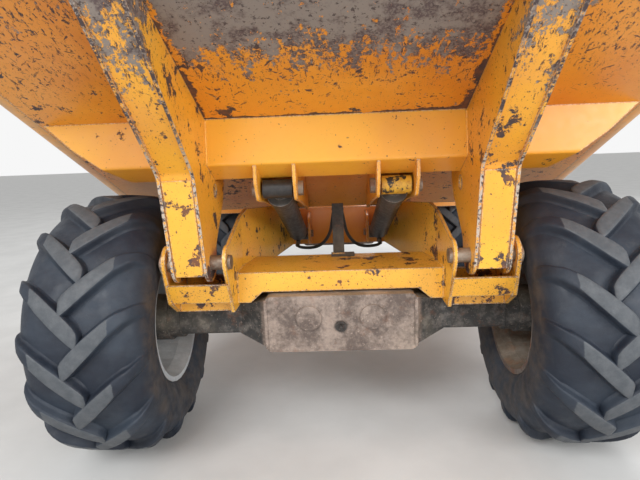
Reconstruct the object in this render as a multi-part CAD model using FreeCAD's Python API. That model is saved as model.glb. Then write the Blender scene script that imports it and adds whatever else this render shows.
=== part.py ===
import FreeCAD, Part
import math
import os
from FreeCAD import Vector

# A front-tip site dumper of the 9-tonne class, in millimetres.
# +Z is up, the skip's lip points to -Y, and the origin is on the ground below the centre of the machine.
# The front half carries the skip on two pivots over the front axle; the rear half carries engine and driver.
# Both halves meet at a centre pivot, which steers and lets them roll against each other.

# Overall layout
WHEELBASE = 2550
FRONT_OVERHANG = 1120          # front axle to the skip's lip
REAR_OVERHANG = 925            # rear axle to the end of the tow jaw
TRACK = 1990
AXLE_Z = 585
PIVOT_FROM_AXLE = WHEELBASE / 2  # front axle to the steering axis
PIVOT_Z = 860
FRONT_AXLE_Y = FRONT_OVERHANG - (FRONT_OVERHANG + WHEELBASE + REAR_OVERHANG) / 2
REAR_AXLE_Y = FRONT_AXLE_Y + WHEELBASE
PIVOT_Y = FRONT_AXLE_Y + PIVOT_FROM_AXLE

# Wheels
TYRE_R = 585
TYRE_W = 500
CARCASS_R = 550
BEAD_R = 286
BEAD_GAP = 1.2
LUGS_PER_SIDE = 15
RIM_FACETS = 32
RIM_HALF = 208
RIM_FLANGE_R = 300
RIM_DISC_X = 20                # disc's inner face, outwards from the tyre's centre plane
HUB_R = 108
HUB_CAP_R = 112
HUB_GAP = 0.3
HUB_END = TRACK / 2 + RIM_DISC_X - HUB_GAP
AXLE_DROP = -3                 # gear housing's centre below the wheel centres
CASING_HALF_H = 127
BEAM_HALF_H = 75

# Plate thicknesses and clearances
SKIP_T = 8
PLATE_T = 15
PIN_GAP = 0.3
TURN_GAP = 0.5
SIDE_GAP = 6

# Skip, seen from the side: distances behind the front axle, and heights
SKIP_HALF_W = 1362             # half the width at the height SKIP_W_Z
SKIP_W_Z = 1950
SKIP_LEAN = 0.10               # how far the sides lean out per unit of height
BOTTOM_Z0 = 1378               # height of the sloping bottom's underside above the axle
BOTTOM_SLOPE = 0.50
CORNER_Y = 740                 # where the bottom meets the rear wall
REAR_TOP_Y = 1090
REAR_TOP_Z = 2010
LIP_Y = -FRONT_OVERHANG
CORNER_R = 110
RIM_BAR = 36
RIM_BAR_H = 70

# Skip pivot and ribs
TIP_Y = -262
TIP_Z = 898
RIB_IN = 525
RIB_OUT = 670
RIB_PLATE_T = 12
RIB_FACE_Y = -405              # the front edge's fold
RIB_BEND_Z = 1258
RIB_LEAN = 0.176               # below the fold the edge runs back by this per unit of height
RIB_SLOPE = 0.97
RIB_END_R = 78
TIP_PIN_R = 30
EAR_IN = 455                   # chassis side plate, inner face, at the pivot
EAR_OUT = 700                  # outer ear's inner face
EAR_R = 72
BRACKET_BASE_Z = AXLE_Z - AXLE_DROP + BEAM_HALF_H

# Box over the front axle
CROSS_FRONT_Y = -115
CROSS_REAR_Y = 240
CROSS_TOP_Z = 815

# Tipping rams
RAM_X = 252
RAM_REAR_Z = 822
RAM_EYE_Y = -110
RAM_EYE_Z = 1181
RAM_BARREL_R = 56
RAM_ROD_R = 30
RAM_EYE_R = 40
RAM_EYE_W = 126
RAM_TAIL_IN = 58                # ram's tail, from its middle inwards and outwards
RAM_TAIL_OUT = 31
RAM_EAR_X = 190                # rear wall's ear, outer face
RAM_PIN_R = 22
WEB_GAP = 146                  # between the two webs that hold a ram's eye
BEAM_TOP_Y = -198              # cross beam, side view
BEAM_FOLD_Y = -224
BEAM_FOLD_Z = 1291
BEAM_REAR_Y = -98
BEAM_REAR_Z = 1226
OUTRIGGER_END = SKIP_HALF_W - 170
WEB_T = 14

# Hoses of the tipping rams
HOSE_R = 9
HOSE_POST_Y = 200
HOSE_TOP_Z = 1048

# Frames
FRAME_WALL_Y = PIVOT_FROM_AXLE - 345  # front frame's rear wall, behind the front axle
RAM_REAR_Y = FRAME_WALL_Y - 47
FRAME_END_X = 312              # half the front frame's width at that wall
SIDE_BEND_Y = 50               # where the side plates start to run in
NECK_TOP_Z = 975
NECK_LOW_Z = 745
NECK_T = 25
KING_PIN_R = 35
KING_TUBE_R = 62
ROLL_SHAFT_R = 60
ROLL_SHAFT_END = 280           # behind the steering axis
RAIL_IN = 318
RAIL_T = 12
RAIL_LOW_Z = AXLE_Z - AXLE_DROP + CASING_HALF_H
RAIL_TOP_Z = 880
RAIL_FLANGE = 70
REAR_PLATE_Y = 745             # rear frame's end plate, behind the rear axle
OUTRIGGER_Z = 850              # top of the arms that carry mudguards and roll-over frame

# Driver's place and rear body
DECK_T = 12
DECK_HALF_W = 560
PLATFORM_Y = -430              # seat platform's front wall, ahead of the rear axle
SEAT_Z = 1280
SIDE_X = 694                   # inner face of the mudguards' inner panels
GUARD_TOP_Z = 1240
GUARD_T = 6
BONNET_HALF_W = 425
BONNET_FRONT_Y = -15           # behind the rear axle
BONNET_REAR_Y = 735
BONNET_TOP_Z = 1530
BONNET_T = 5
HINGE_R = 4.7
ROPS_Y = -75                   # ahead of the rear axle when negative
ROPS_X = 505
ROPS_TOP_Z = 2980
ROPS_W = 90
ROPS_D = 70

os.makedirs("parts", exist_ok=True)


def fy(v):
    """Y of a place given behind the front axle."""
    return FRONT_AXLE_Y + v


def ry(v):
    """Y of a place given behind the rear axle."""
    return REAR_AXLE_Y + v


def py(v):
    """Y of a place given behind the steering axis."""
    return PIVOT_Y + v


def face(corners, place):
    """A flat face with corners (a, b, radius), rounded where the radius isn't 0."""
    edges = []
    starts, ends = [], []
    count = len(corners)
    for i, (a, b, radius) in enumerate(corners):
        here = Vector(a, b, 0)
        if not radius:
            starts.append(here)
            ends.append(here)
            continue
        before = corners[i - 1]
        after = corners[(i + 1) % count]
        u = (Vector(before[0], before[1], 0) - here).normalize()
        w = (Vector(after[0], after[1], 0) - here).normalize()
        half = u.getAngle(w) / 2
        starts.append(here + u * (radius / math.tan(half)))
        ends.append(here + w * (radius / math.tan(half)))
        towards = (u + w).normalize()
        middle = here + towards * (radius / math.sin(half) - radius)
        edges.append(Part.Arc(place(starts[-1]), place(middle), place(ends[-1])).toShape())
    for i in range(count):
        a, b = ends[i], starts[(i + 1) % count]
        if (a - b).Length > 1e-6:
            edges.append(Part.makeLine(place(a), place(b)))
    return Part.Face(Part.Wire(Part.__sortEdges__(edges)))


def with_radius(points, radius=0):
    return [(p[0], p[1], p[2] if len(p) > 2 else radius) for p in points]


def prism_x(points, x0, x1, radius=0):
    """An outline of (y, z) points, extruded along X."""
    flat = face(with_radius(points, radius), lambda p: Vector(x0, p.x, p.y))
    return flat.extrude(Vector(x1 - x0, 0, 0))


def prism_y(points, y0, y1, radius=0):
    """An outline of (x, z) points, extruded along Y."""
    flat = face(with_radius(points, radius), lambda p: Vector(p.x, y0, p.y))
    return flat.extrude(Vector(0, y1 - y0, 0))


def prism_z(points, z0, z1, radius=0):
    """An outline of (x, y) points, extruded along Z."""
    flat = face(with_radius(points, radius), lambda p: Vector(p.x, p.y, z0))
    return flat.extrude(Vector(0, 0, z1 - z0))


def block(x0, x1, y0, y1, z0, z1):
    return Part.makeBox(x1 - x0, y1 - y0, z1 - z0, Vector(x0, y0, z0))


def rod_x(y, z, r, x0, x1):
    return Part.makeCylinder(r, x1 - x0, Vector(x0, y, z), Vector(1, 0, 0))


def rod_y(x, z, r, y0, y1):
    return Part.makeCylinder(r, y1 - y0, Vector(x, y0, z), Vector(0, 1, 0))


def rod_z(x, y, r, z0, z1):
    return Part.makeCylinder(r, z1 - z0, Vector(x, y, z0), Vector(0, 0, 1))


def fused(*shapes):
    first, *rest = shapes
    return first.fuse(rest).removeSplitter() if rest else first


def mirrored(shape):
    return shape.mirror(Vector(0, 0, 0), Vector(1, 0, 0))


def pair(shape):
    """A shape and its mirror image on the machine's other side."""
    return [shape, mirrored(shape)]


def half_space(point, normal, size=6000):
    """A large block on the side of a plane that its normal points to."""
    big = Part.makeBox(size, size, size, Vector(-size / 2, -size / 2, 0))
    turn = FreeCAD.Rotation(Vector(0, 0, 1), Vector(*normal))
    big.Placement = FreeCAD.Placement(Vector(*point), turn)
    return big


def faceted_tube(points, radius, bend, sides=10, steps=5):
    """A bar of flat facets along runs that lie in one plane, with rounded corners."""
    line = [points[0]]
    for before, here, after in zip(points, points[1:], points[2:]):
        u = (before - here).normalize()
        w = (after - here).normalize()
        half = u.getAngle(w) / 2
        centre = here + (u + w).normalize() * (bend / math.sin(half))
        start = here + u * (bend / math.tan(half)) - centre
        across = here + w * (bend / math.tan(half)) - centre
        sweep = start.getAngle(across)
        for k in range(steps + 1):
            a = sweep * k / steps
            line.append(centre + (start * math.sin(sweep - a) + across * math.sin(a)) * (1 / math.sin(sweep)))
    line.append(points[-1])
    out = (points[1] - points[0]).cross(points[2] - points[1]).normalize()
    rings = []
    for i, here in enumerate(line):
        before = (here - line[i - 1]).normalize() if i else (line[1] - here).normalize()
        after = (line[i + 1] - here).normalize() if i + 1 < len(line) else before
        way = (before + after).normalize()
        side = way.cross(out) * (1 / way.dot(after))
        rings.append([here + side * (radius * math.cos(t)) + out * (radius * math.sin(t))
                      for t in (2 * math.pi * k / sides for k in range(sides))])
    faces = [rings[0], rings[-1]]
    for a, b in zip(rings, rings[1:]):
        for k in range(sides):
            j = (k + 1) % sides
            faces.append([a[k], a[j], b[j]])
            faces.append([a[k], b[j], b[k]])
    solid = flat_solid(faces)
    return solid if solid.Volume > 0 else solid.reversed()


def write(name, shapes):
    """Writes one node; shapes that don't touch stay separate solids."""
    solids = [s for shape in (shapes if isinstance(shapes, list) else [shapes]) for s in shape.Solids]
    for s in solids:
        if not s.isValid() or s.Volume <= 0:
            raise ValueError(name + " has a bad solid")
    made = solids[0] if len(solids) == 1 else Part.makeCompound(solids)
    made.exportStep("parts/" + name + ".step")


# Wheels

def ring_point(x, r, angle):
    return Vector(x, r * math.sin(angle), r * math.cos(angle))


def flat_solid(faces):
    return Part.Solid(Part.Shell([Part.Face(Part.makePolygon(list(f) + [f[0]])) for f in faces]))


def faceted_turning(profile, facets):
    """A closed (x, r) outline turned about the X axis, with flat facets."""
    step = 2 * math.pi / facets
    faces = []
    for (x0, r0), (x1, r1) in zip(profile, profile[1:] + profile[:1]):
        if r0 == 0 and r1 == 0:
            continue
        for k in range(facets):
            a, b = (k - 0.5) * step, (k + 0.5) * step
            corners = [ring_point(x0, r0, a), ring_point(x1, r1, a), ring_point(x1, r1, b), ring_point(x0, r0, b)]
            if r0 == 0:
                corners = corners[:3]
            elif r1 == 0:
                corners = [corners[0], corners[1], corners[3]]
            faces.append(corners)
    solid = flat_solid(faces)
    return solid if solid.Volume > 0 else solid.reversed()


def zipped(first, second):
    """Triangles between two closed rings of (turn, point), both sorted by turn over one whole turn."""
    faces = []
    i = j = 0
    n, m = len(first), len(second)
    while i < n or j < m:
        turn_i = first[(i + 1) % n][0] + (i + 1) // n
        turn_j = second[(j + 1) % m][0] + (j + 1) // m
        a, b = first[i % n][1], second[j % m][1]
        if j >= m or (i < n and turn_i <= turn_j):
            faces.append([a, first[(i + 1) % n][1], b])
            i += 1
        else:
            faces.append([a, second[(j + 1) % m][1], b])
            j += 1
    return faces


def tyre():
    """Carcass and tread bars as one surface of rings; the bars lag outwards from the tyre's middle."""
    half = TYRE_W / 2
    count = LUGS_PER_SIDE
    # the bar's section within one pitch: share of the pitch, and whether the point is on the bar's top
    section = [(0.0, False), (0.05, True), (0.37, True), (0.43, False)]
    crown = (CARCASS_R - 3, TYRE_R - 1)
    # columns: distance from the middle, radius on a bar, radius between bars, lag in pitches
    tread = [(42, TYRE_R - 1, CARCASS_R - 4, 0.16), (150, TYRE_R - 3, CARCASS_R - 7, 0.57),
             (208, 560, 526, 0.77), (half - 4, 498, 480, 0.88)]
    # columns: distance from the middle, radius, lag in pitches; two points in each pitch
    wall = [(half, 410, 0.88), (RIM_HALF - 6, BEAD_R + BEAD_GAP, 0.88)]

    def ring(side, x, radii, lag, shares):
        shift = (0.0 if side > 0 else 0.5)
        made = []
        for k in range(count):
            for share, raised in shares:
                turn = (k + share + shift) / count
                made.append((turn, side * x, radii[1 if raised else 0], (turn + lag / count) * 2 * math.pi))
        return [(turn, ring_point(x_at, r, angle)) for turn, x_at, r, angle in made]

    def sorted_ring(points):
        return sorted(((turn % 1.0, point) for turn, point in points), key=lambda item: item[0])

    middle = sorted_ring([item for side in (1, -1)
                          for item in ring(side, 0, crown, 0.0, section)])
    faces = []
    beads = []
    for side in (1, -1):
        last = middle
        for x, top, low, lag in tread:
            here = sorted_ring(ring(side, x, (low, top), lag, section))
            faces += zipped(last, here)
            last = here
        for x, r, lag in wall:
            here = sorted_ring(ring(side, x, (r, r), lag, [(0.0, False), (0.43, False)]))
            faces += zipped(last, here)
            last = here
        beads.append(last)
    faces += zipped(*beads)
    solid = flat_solid(faces)
    return solid if solid.Volume > 0 else solid.reversed()


def rim():
    """Barrel, disc and planetary hub cap; +X is the wheel's outer side."""
    wall = 9
    disc = RIM_DISC_X
    profile = [
        (-RIM_HALF - 8, RIM_FLANGE_R), (-RIM_HALF - 8, BEAD_R - 8), (-150, 258), (disc, 250),
        (disc, HUB_CAP_R - 20), (disc + 12, HUB_CAP_R - 20), (disc + 12, 250),
        (150, 258), (RIM_HALF + 8, BEAD_R - 8), (RIM_HALF + 8, RIM_FLANGE_R),
        (RIM_HALF, RIM_FLANGE_R), (RIM_HALF - 4, BEAD_R), (150, 258 + wall),
        (-150, 258 + wall), (-RIM_HALF + 4, BEAD_R), (-RIM_HALF, RIM_FLANGE_R),
    ]
    ring = faceted_turning(profile, RIM_FACETS)
    cap = faceted_turning(
        [(disc + 12, 0), (disc + 12, HUB_CAP_R + 22), (disc + 30, HUB_CAP_R + 22), (disc + 34, HUB_CAP_R),
         (disc + 120, HUB_CAP_R - 14), (disc + 132, HUB_CAP_R - 30), (disc + 132, 0)], 24)
    return ring.fuse(cap)


def wheels():
    rubber, steel = tyre(), rim()
    for end, y in (("front", FRONT_AXLE_Y), ("rear", REAR_AXLE_Y)):
        for side, sign in (("left", 1), ("right", -1)):
            at = Vector(sign * TRACK / 2, y, AXLE_Z)
            one = steel if sign > 0 else mirrored(steel)
            write("tyre_" + end + "_" + side, rubber.translated(at))
            write("rim_" + end + "_" + side, one.translated(at))


# Axles

def axle(y, ahead):
    """Beam axle with a central gear housing; its nose points away from ahead, which is -1 or 1."""
    c = AXLE_Z - AXLE_DROP
    top = c + BEAM_HALF_H
    beam = prism_x([(y - 75, c - 70), (y + 75, c - 70), (y + 75, top), (y - 75, top)], -790, 790, 18)
    h = CASING_HALF_H
    casing = prism_y([(-335, c - h), (335, c - h), (335, c + h), (-335, c + h)], y - 165, y + 165, 32)
    tapers = []
    for s in (-1, 1):
        near = Part.makePolygon([Vector(s * 334, y + b, c + h) for b, h in
                                 ((-130, -118), (130, -118), (130, 100), (-130, 100), (-130, -118))])
        far = Part.makePolygon([Vector(s * 465, y + b, c + h) for b, h in
                                ((-70, -68), (70, -68), (70, 70), (-70, 70), (-70, -68))])
        tapers.append(Part.makeLoft([near, far], True, True))
    back = y + ahead * 165
    nose = Part.makeCone(118, 62, -AXLE_NOSE_END - 165, Vector(0, back, c + 10), Vector(0, ahead, 0))
    plain = y - ahead * 165
    bosses = []
    for x, z, r, out in ((-140, c + 28, 55, 8), (140, c + 28, 55, 8), (0, c - 12, 24, 10), (0, c - 12, 13, 20)):
        bosses.append(Part.makeCylinder(r, out + 20, Vector(x, plain + ahead * 20, z), Vector(0, -ahead, 0)))
    hubs = []
    for s in (-1, 1):
        hubs.append(Part.makeCylinder(HUB_R - 12, 60, Vector(s * 740, y, AXLE_Z), Vector(s, 0, 0)))
        hubs.append(Part.makeCylinder(HUB_R, HUB_END - 795, Vector(s * 795, y, AXLE_Z), Vector(s, 0, 0)))
    return fused(beam, casing, nose, *tapers, *bosses, *hubs)


# Front frame

def side_plate_plan():
    """The left side plate seen from above, as a tall prism."""
    bend_y, end_x = fy(SIDE_BEND_Y), FRAME_END_X - PLATE_T
    path = [
        (EAR_IN, fy(-420)), (EAR_IN + PLATE_T, fy(-420)), (EAR_IN + PLATE_T, bend_y),
        (end_x + PLATE_T, fy(FRAME_WALL_Y)), (end_x, fy(FRAME_WALL_Y)), (EAR_IN, bend_y - 3),
    ]
    return prism_z(path, 400, 1500)


def between_side_plates():
    """The space between both side plates, as a tall prism."""
    half = [(EAR_IN, fy(-420)), (EAR_IN, fy(SIDE_BEND_Y) - 3), (FRAME_END_X - PLATE_T, fy(FRAME_WALL_Y))]
    return prism_z(half + [(-x, y) for x, y in reversed(half)], 400, 1500)


def side_plate_front():
    """The left side plate: straight beside the skip pivot, then running in to the rear wall."""
    low = BRACKET_BASE_Z
    wall = FRAME_WALL_Y
    outline = [
        (fy(TIP_Y - 84), TIP_Z + 66, 62), (fy(TIP_Y + 40), TIP_Z + 66, 40),
        (fy(140), TIP_Z + 177, 60), (fy(wall - 370), TIP_Z + 142, 60), (fy(wall - 170), 975, 40), (fy(wall), 975, 0),
        (fy(wall), NECK_LOW_Z, 0), (fy(wall - 460), NECK_LOW_Z, 90), (fy(290), low + 24, 60),
        (fy(75), low, 0), (fy(-200), low, 0),
    ]
    tall = prism_x(outline, 200, 700)
    plate = tall.common(side_plate_plan())
    plate = plate.cut(rod_x(fy(TIP_Y), TIP_Z, TIP_PIN_R + PIN_GAP, 400, 500))
    return plate.cut(rod_x(fy(RAM_REAR_Y), RAM_REAR_Z, RAM_PIN_R + PIN_GAP, 200, 400))


def crossmember_front():
    """Box over the axle, its lower edge cut up round the gear housing."""
    low = BRACKET_BASE_Z
    outline = [
        (-EAR_IN, CROSS_TOP_Z), (EAR_IN, CROSS_TOP_Z), (EAR_IN, low + 14), (400, low + 14), (345, low + 62),
        (-345, low + 62), (-400, low + 14), (-EAR_IN, low + 14),
    ]
    return prism_y(outline, fy(CROSS_FRONT_Y), fy(CROSS_REAR_Y)).common(between_side_plates())


def bracket_left():
    """Outer ear, sloped front plate, shelf and base beside the side plate, open at the top for the rib."""
    inner = EAR_IN + PLATE_T
    outer = EAR_OUT + 5
    base_z = BRACKET_BASE_Z
    shelf_z = TIP_Z - 172
    front_y = TIP_Y - 51
    ear = prism_x([
        (fy(TIP_Y - EAR_R), TIP_Z + EAR_R, EAR_R - 2), (fy(TIP_Y + EAR_R), TIP_Z + EAR_R, EAR_R - 2),
        (fy(95), base_z + 45, 20), (fy(95), base_z, 0), (fy(-175), base_z, 0), (fy(TIP_Y - 8), shelf_z, 20),
    ], EAR_OUT, EAR_OUT + 18)
    ear = ear.cut(rod_x(fy(TIP_Y), TIP_Z, TIP_PIN_R + PIN_GAP, EAR_OUT - 10, EAR_OUT + 40))
    front = prism_x([(fy(front_y), shelf_z + 90), (fy(front_y + 14), shelf_z + 90), (fy(front_y + 65), shelf_z - 1),
                     (fy(front_y + 51), shelf_z - 1)], EAR_IN - 2, outer)
    shelf = block(inner, outer, fy(TIP_Y + 8), fy(-163), shelf_z, shelf_z + 13)
    base = block(inner, outer, fy(-175), fy(95), base_z, base_z + 15)
    riser = block(inner, outer, fy(-175), fy(-163), base_z + 5, shelf_z + 5)
    back = block(inner, outer, fy(-60), fy(-45), base_z + 5, TIP_Z - 100)
    return fused(ear, front, shelf, base, riser, back)


def tip_pin_left():
    y = fy(TIP_Y)
    shaft = rod_x(y, TIP_Z, TIP_PIN_R, EAR_IN - 14, EAR_OUT + 34)
    head = rod_x(y, TIP_Z, 46, EAR_OUT + 18, EAR_OUT + 26)
    return fused(shaft, head)


def neck_plate(z):
    """One clevis plate from the rear wall to the king pin."""
    wall = FRAME_WALL_Y - PIVOT_FROM_AXLE
    outline = [(-235, py(wall + 20), 0), (-76, py(78), 74), (76, py(78), 74), (235, py(wall + 20), 0)]
    return prism_z(outline, z - NECK_T, z).cut(rod_z(0, PIVOT_Y, KING_PIN_R + PIN_GAP, z - 60, z + 60))


def neck():
    """Rear wall, ram ears and clevis of the front frame."""
    y = fy(FRAME_WALL_Y)
    wall = block(-FRAME_END_X, FRAME_END_X, y, y + 20, NECK_LOW_Z, 980)
    webs = []
    for s in (-1, 1):
        x = s * 205
        webs.append(block(min(x, x + s * 12), max(x, x + s * 12), y + 20, y + 150, NECK_LOW_Z, NECK_TOP_Z - NECK_T))
    ear = prism_x([
        (fy(RAM_REAR_Y - 80), RAM_REAR_Z + 108, 45), (y, RAM_REAR_Z + 135, 0), (y, RAM_REAR_Z - 62, 0),
        (fy(RAM_REAR_Y - 80), RAM_REAR_Z - 56, 30),
    ], RAM_EAR_X - PLATE_T, RAM_EAR_X)
    ear = ear.cut(rod_x(fy(RAM_REAR_Y), RAM_REAR_Z, RAM_PIN_R + PIN_GAP, 0, 400))
    return fused(wall, neck_plate(NECK_TOP_Z), neck_plate(NECK_LOW_Z + NECK_T), *webs, *pair(ear))


def king_pin():
    shaft = rod_z(0, PIVOT_Y, KING_PIN_R, NECK_LOW_Z - 14, NECK_TOP_Z + 6)
    head = rod_z(0, PIVOT_Y, 58, NECK_TOP_Z + 0.3, NECK_TOP_Z + 16)
    return fused(shaft, head)


def ram_pins():
    """Rear pins of both tipping rams."""
    one = rod_x(fy(RAM_REAR_Y), RAM_REAR_Z, RAM_PIN_R, RAM_EAR_X - PLATE_T - 14, 328)
    return pair(one)


# Skip

def skip_planes(inset):
    """Points and outward normals of the hopper's walls, moved in by inset."""
    k = BOTTOM_SLOPE
    slope = Vector(0, -k, -1).normalize()
    rear = Vector(0, REAR_TOP_Z - bottom_z(CORNER_Y), -(REAR_TOP_Y - CORNER_Y)).normalize()
    side = Vector(1, 0, -SKIP_LEAN).normalize()
    other = Vector(-1, 0, -SKIP_LEAN).normalize()
    rows = [
        (Vector(0, fy(0), BOTTOM_Z0), slope),
        (Vector(0, fy(REAR_TOP_Y), REAR_TOP_Z), rear),
        (Vector(SKIP_HALF_W, 0, SKIP_W_Z), side),
        (Vector(-SKIP_HALF_W, 0, SKIP_W_Z), other),
    ]
    return [(point - normal * inset, normal) for point, normal in rows]


def bottom_z(y):
    """Height of the bottom's underside at y behind the front axle."""
    return BOTTOM_Z0 - BOTTOM_SLOPE * y


def top_plane():
    """A point and the normal of the plane through the skip's upper edges."""
    rise = (REAR_TOP_Z - bottom_z(LIP_Y) - SKIP_T) / (REAR_TOP_Y - LIP_Y)
    return Vector(0, fy(REAR_TOP_Y), REAR_TOP_Z), Vector(0, -rise, 1).normalize()


def hopper(inset, radius, taller=0):
    """The skip's filled outer or inner form, with its lower side edges rolled."""
    form = block(-1600, 1600, fy(LIP_Y), fy(REAR_TOP_Y + 300), 700, 2300)
    for point, normal in skip_planes(inset):
        form = form.cut(half_space(point, normal))
    point, normal = top_plane()
    form = form.cut(half_space(point + normal * taller, normal))
    if not radius:
        return form
    (bottom, b_normal), _, (side, s_normal), (other, o_normal) = skip_planes(inset)
    rolled = []
    for edge in form.Edges:
        middle = edge.valueAt((edge.FirstParameter + edge.LastParameter) / 2)
        on_bottom = abs((middle - bottom).dot(b_normal)) < 0.5
        on_side = abs((middle - side).dot(s_normal)) < 0.5 or abs((middle - other).dot(o_normal)) < 0.5
        if on_bottom and on_side:
            rolled.append(edge)
    return form.makeFillet(radius, rolled)


def skip_panels():
    """Bottom, rear wall and two sides with their rolled lower corners."""
    outer = hopper(0, CORNER_R)
    inner = hopper(SKIP_T, CORNER_R - SKIP_T, 200)
    inner = inner.fuse(block(-1600, 1600, fy(LIP_Y) - 100, fy(LIP_Y) + 0.01, 2200, 2300))
    shell = outer.cut(inner)
    bottom_point, bottom_normal = skip_planes(SKIP_T)[0]
    rear_point, rear_normal = skip_planes(SKIP_T)[1]
    rear = shell.common(half_space(rear_point, rear_normal))
    shell = shell.cut(half_space(rear_point, rear_normal))
    fold = []
    for y in (LIP_Y - 50, CORNER_Y + 200):
        z = bottom_z(y)
        half = SKIP_HALF_W - SKIP_LEAN * (SKIP_W_Z - z) - CORNER_R * 0.98
        fold.append((half, fy(y)))
    plan = prism_z(fold + [(-x, y) for x, y in reversed(fold)], 700, 2300)
    bottom = shell.common(plan).common(half_space(bottom_point, bottom_normal))
    sides = shell.cut(plan)
    left = sides.common(block(0, 1600, -4000, 4000, 500, 2400))
    right = sides.common(block(-1600, 0, -4000, 4000, 500, 2400))
    return bottom, rear, left, right


def skip_rim():
    """Stiffening bar round the sides' and rear wall's upper edges."""
    point, normal = top_plane()
    bar = hopper(-RIM_BAR, 0).cut(hopper(0, 0, 5))
    bar = bar.cut(half_space(point - normal * RIM_BAR_H, normal * -1))
    return bar.cut(block(-1700, 1700, fy(LIP_Y) - 60, fy(LIP_Y) + 130, 1500, 2300))


def lip_strip():
    """Wear bar below the skip's front edge."""
    y0, y1 = LIP_Y, LIP_Y + 70
    half = SKIP_HALF_W - SKIP_LEAN * (SKIP_W_Z - bottom_z(LIP_Y)) - CORNER_R - 4
    outline = [(fy(y0), bottom_z(y0)), (fy(y1), bottom_z(y1)), (fy(y1), bottom_z(y1) - 14), (fy(y0), bottom_z(y0) - 14)]
    return prism_x(outline, -half, half)


def rib_line(y):
    """Height of the rib's sloping front face at y behind the front axle."""
    return RIB_BEND_Z + (RIB_FACE_Y - y) * RIB_SLOPE


def rib_outline(inset):
    """Side view of a rib, its front edge moved in by inset."""
    end_y = (BOTTOM_Z0 - RIB_BEND_Z - RIB_FACE_Y * RIB_SLOPE) / (BOTTOM_SLOPE - RIB_SLOPE)
    start = max(end_y, LIP_Y + 75)
    low_in, high_in = inset * math.hypot(1, RIB_LEAN), inset * math.hypot(1, RIB_SLOPE)
    fold_up = (high_in - low_in * RIB_SLOPE) / (1 - RIB_LEAN * RIB_SLOPE)
    fold_y = RIB_FACE_Y + low_in - fold_up * RIB_LEAN
    foot_z = TIP_Z - RIB_END_R + inset
    foot_y = RIB_FACE_Y + (RIB_BEND_Z - foot_z) * RIB_LEAN + low_in
    return [
        (fy(foot_y), foot_z, RIB_END_R - 4 - inset), (fy(TIP_Y + RIB_END_R), TIP_Z - RIB_END_R, RIB_END_R - 4),
        (fy(TIP_Y + RIB_END_R + 30), TIP_Z + 60, 60), (fy(20), TIP_Z + 222, 40), (fy(60), TIP_Z + 302, 40),
        (fy(60), bottom_z(60), 0), (fy(start), bottom_z(start), 0), (fy(start), rib_line(start) - 0.01 + high_in, 0),
        (fy(fold_y), RIB_BEND_Z + fold_up, 60),
    ]


def rib_left():
    """Two shaped plates with a front cover set between them and a bush for the pivot pin."""
    t = RIB_PLATE_T
    outline = rib_outline(0)
    plates = [prism_x(outline, RIB_IN, RIB_IN + t), prism_x(outline, RIB_OUT - t, RIB_OUT)]
    filled = prism_x(rib_outline(9), RIB_IN + t, RIB_OUT - t)
    cover = filled.cut(prism_x(rib_outline(21), RIB_IN, RIB_OUT))
    cover = cover.cut(block(0, 1000, fy(TIP_Y - 35), fy(900), 500, 2300))
    cover = cover.fuse(filled.cut(prism_x(rib_outline(21), RIB_IN, RIB_OUT)).common(
        block(0, 1000, fy(-1500), fy(TIP_Y - 34), RIB_BEND_Z - 150, 2300)))
    cover = cover.cut(block(0, 1000, fy(-1500), fy(900), 500, TIP_Z - 45))
    bush = rod_x(fy(TIP_Y), TIP_Z, 52, RIB_IN + t - 2, RIB_OUT - t + 2)
    whole = fused(*plates, cover, bush)
    whole = whole.cut(rod_x(fy(TIP_Y), TIP_Z, TIP_PIN_R + TURN_GAP, 400, 800))
    return whole.cut(rod_x(fy(RAM_EYE_Y), RAM_EYE_Z, 30, 400, RIB_IN + t + 1))


def beam_outline():
    """Side view of the cross beam below the skip's bottom."""
    return [
        (fy(BEAM_TOP_Y), bottom_z(BEAM_TOP_Y)), (fy(BEAM_FOLD_Y), BEAM_FOLD_Z, 14), (fy(BEAM_REAR_Y), BEAM_REAR_Z, 6),
        (fy(BEAM_REAR_Y + 27), bottom_z(BEAM_REAR_Y + 27)),
    ]


def cross_beam():
    """Beam between the ribs, and an outrigger beyond each, cut away along a slant."""
    middle = prism_x(beam_outline(), -RIB_IN, RIB_IN)
    end, low = OUTRIGGER_END, BEAM_REAR_Z
    outrigger = prism_x(beam_outline(), RIB_OUT, end)
    slant = prism_y([(end, low + 250), (end - 115, low + 146), (end - 235, low + 64), (end - 305, low + 5),
                     (end - 305, low - 100), (end + 300, low - 100), (end + 300, low + 250)], fy(-400), fy(0))
    return [middle] + pair(outrigger.cut(slant))


def ram_webs():
    """Four webs under the skip that hold the rams' front pins."""
    made = []
    outline = [
        (fy(BEAM_FOLD_Y + 8), BEAM_FOLD_Z - 4, 0), (fy(RAM_EYE_Y - 105), RAM_EYE_Z + 30, 30),
        (fy(RAM_EYE_Y - 56), RAM_EYE_Z - 46, 40), (fy(RAM_EYE_Y + 170), RAM_EYE_Z - 74, 60),
        (fy(RAM_EYE_Y + 700), bottom_z(RAM_EYE_Y + 700) - 74, 0), (fy(RAM_EYE_Y + 700), bottom_z(RAM_EYE_Y + 700), 0),
        (fy(BEAM_REAR_Y + 27), bottom_z(BEAM_REAR_Y + 27), 0), (fy(BEAM_REAR_Y), BEAM_REAR_Z, 0),
    ]
    for x in (RAM_X - WEB_GAP / 2 - WEB_T, RAM_X + WEB_GAP / 2):
        web = prism_x(outline, x, x + WEB_T).cut(prism_x(beam_outline(), 0, 600))
        made += pair(web)
    return made


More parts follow.
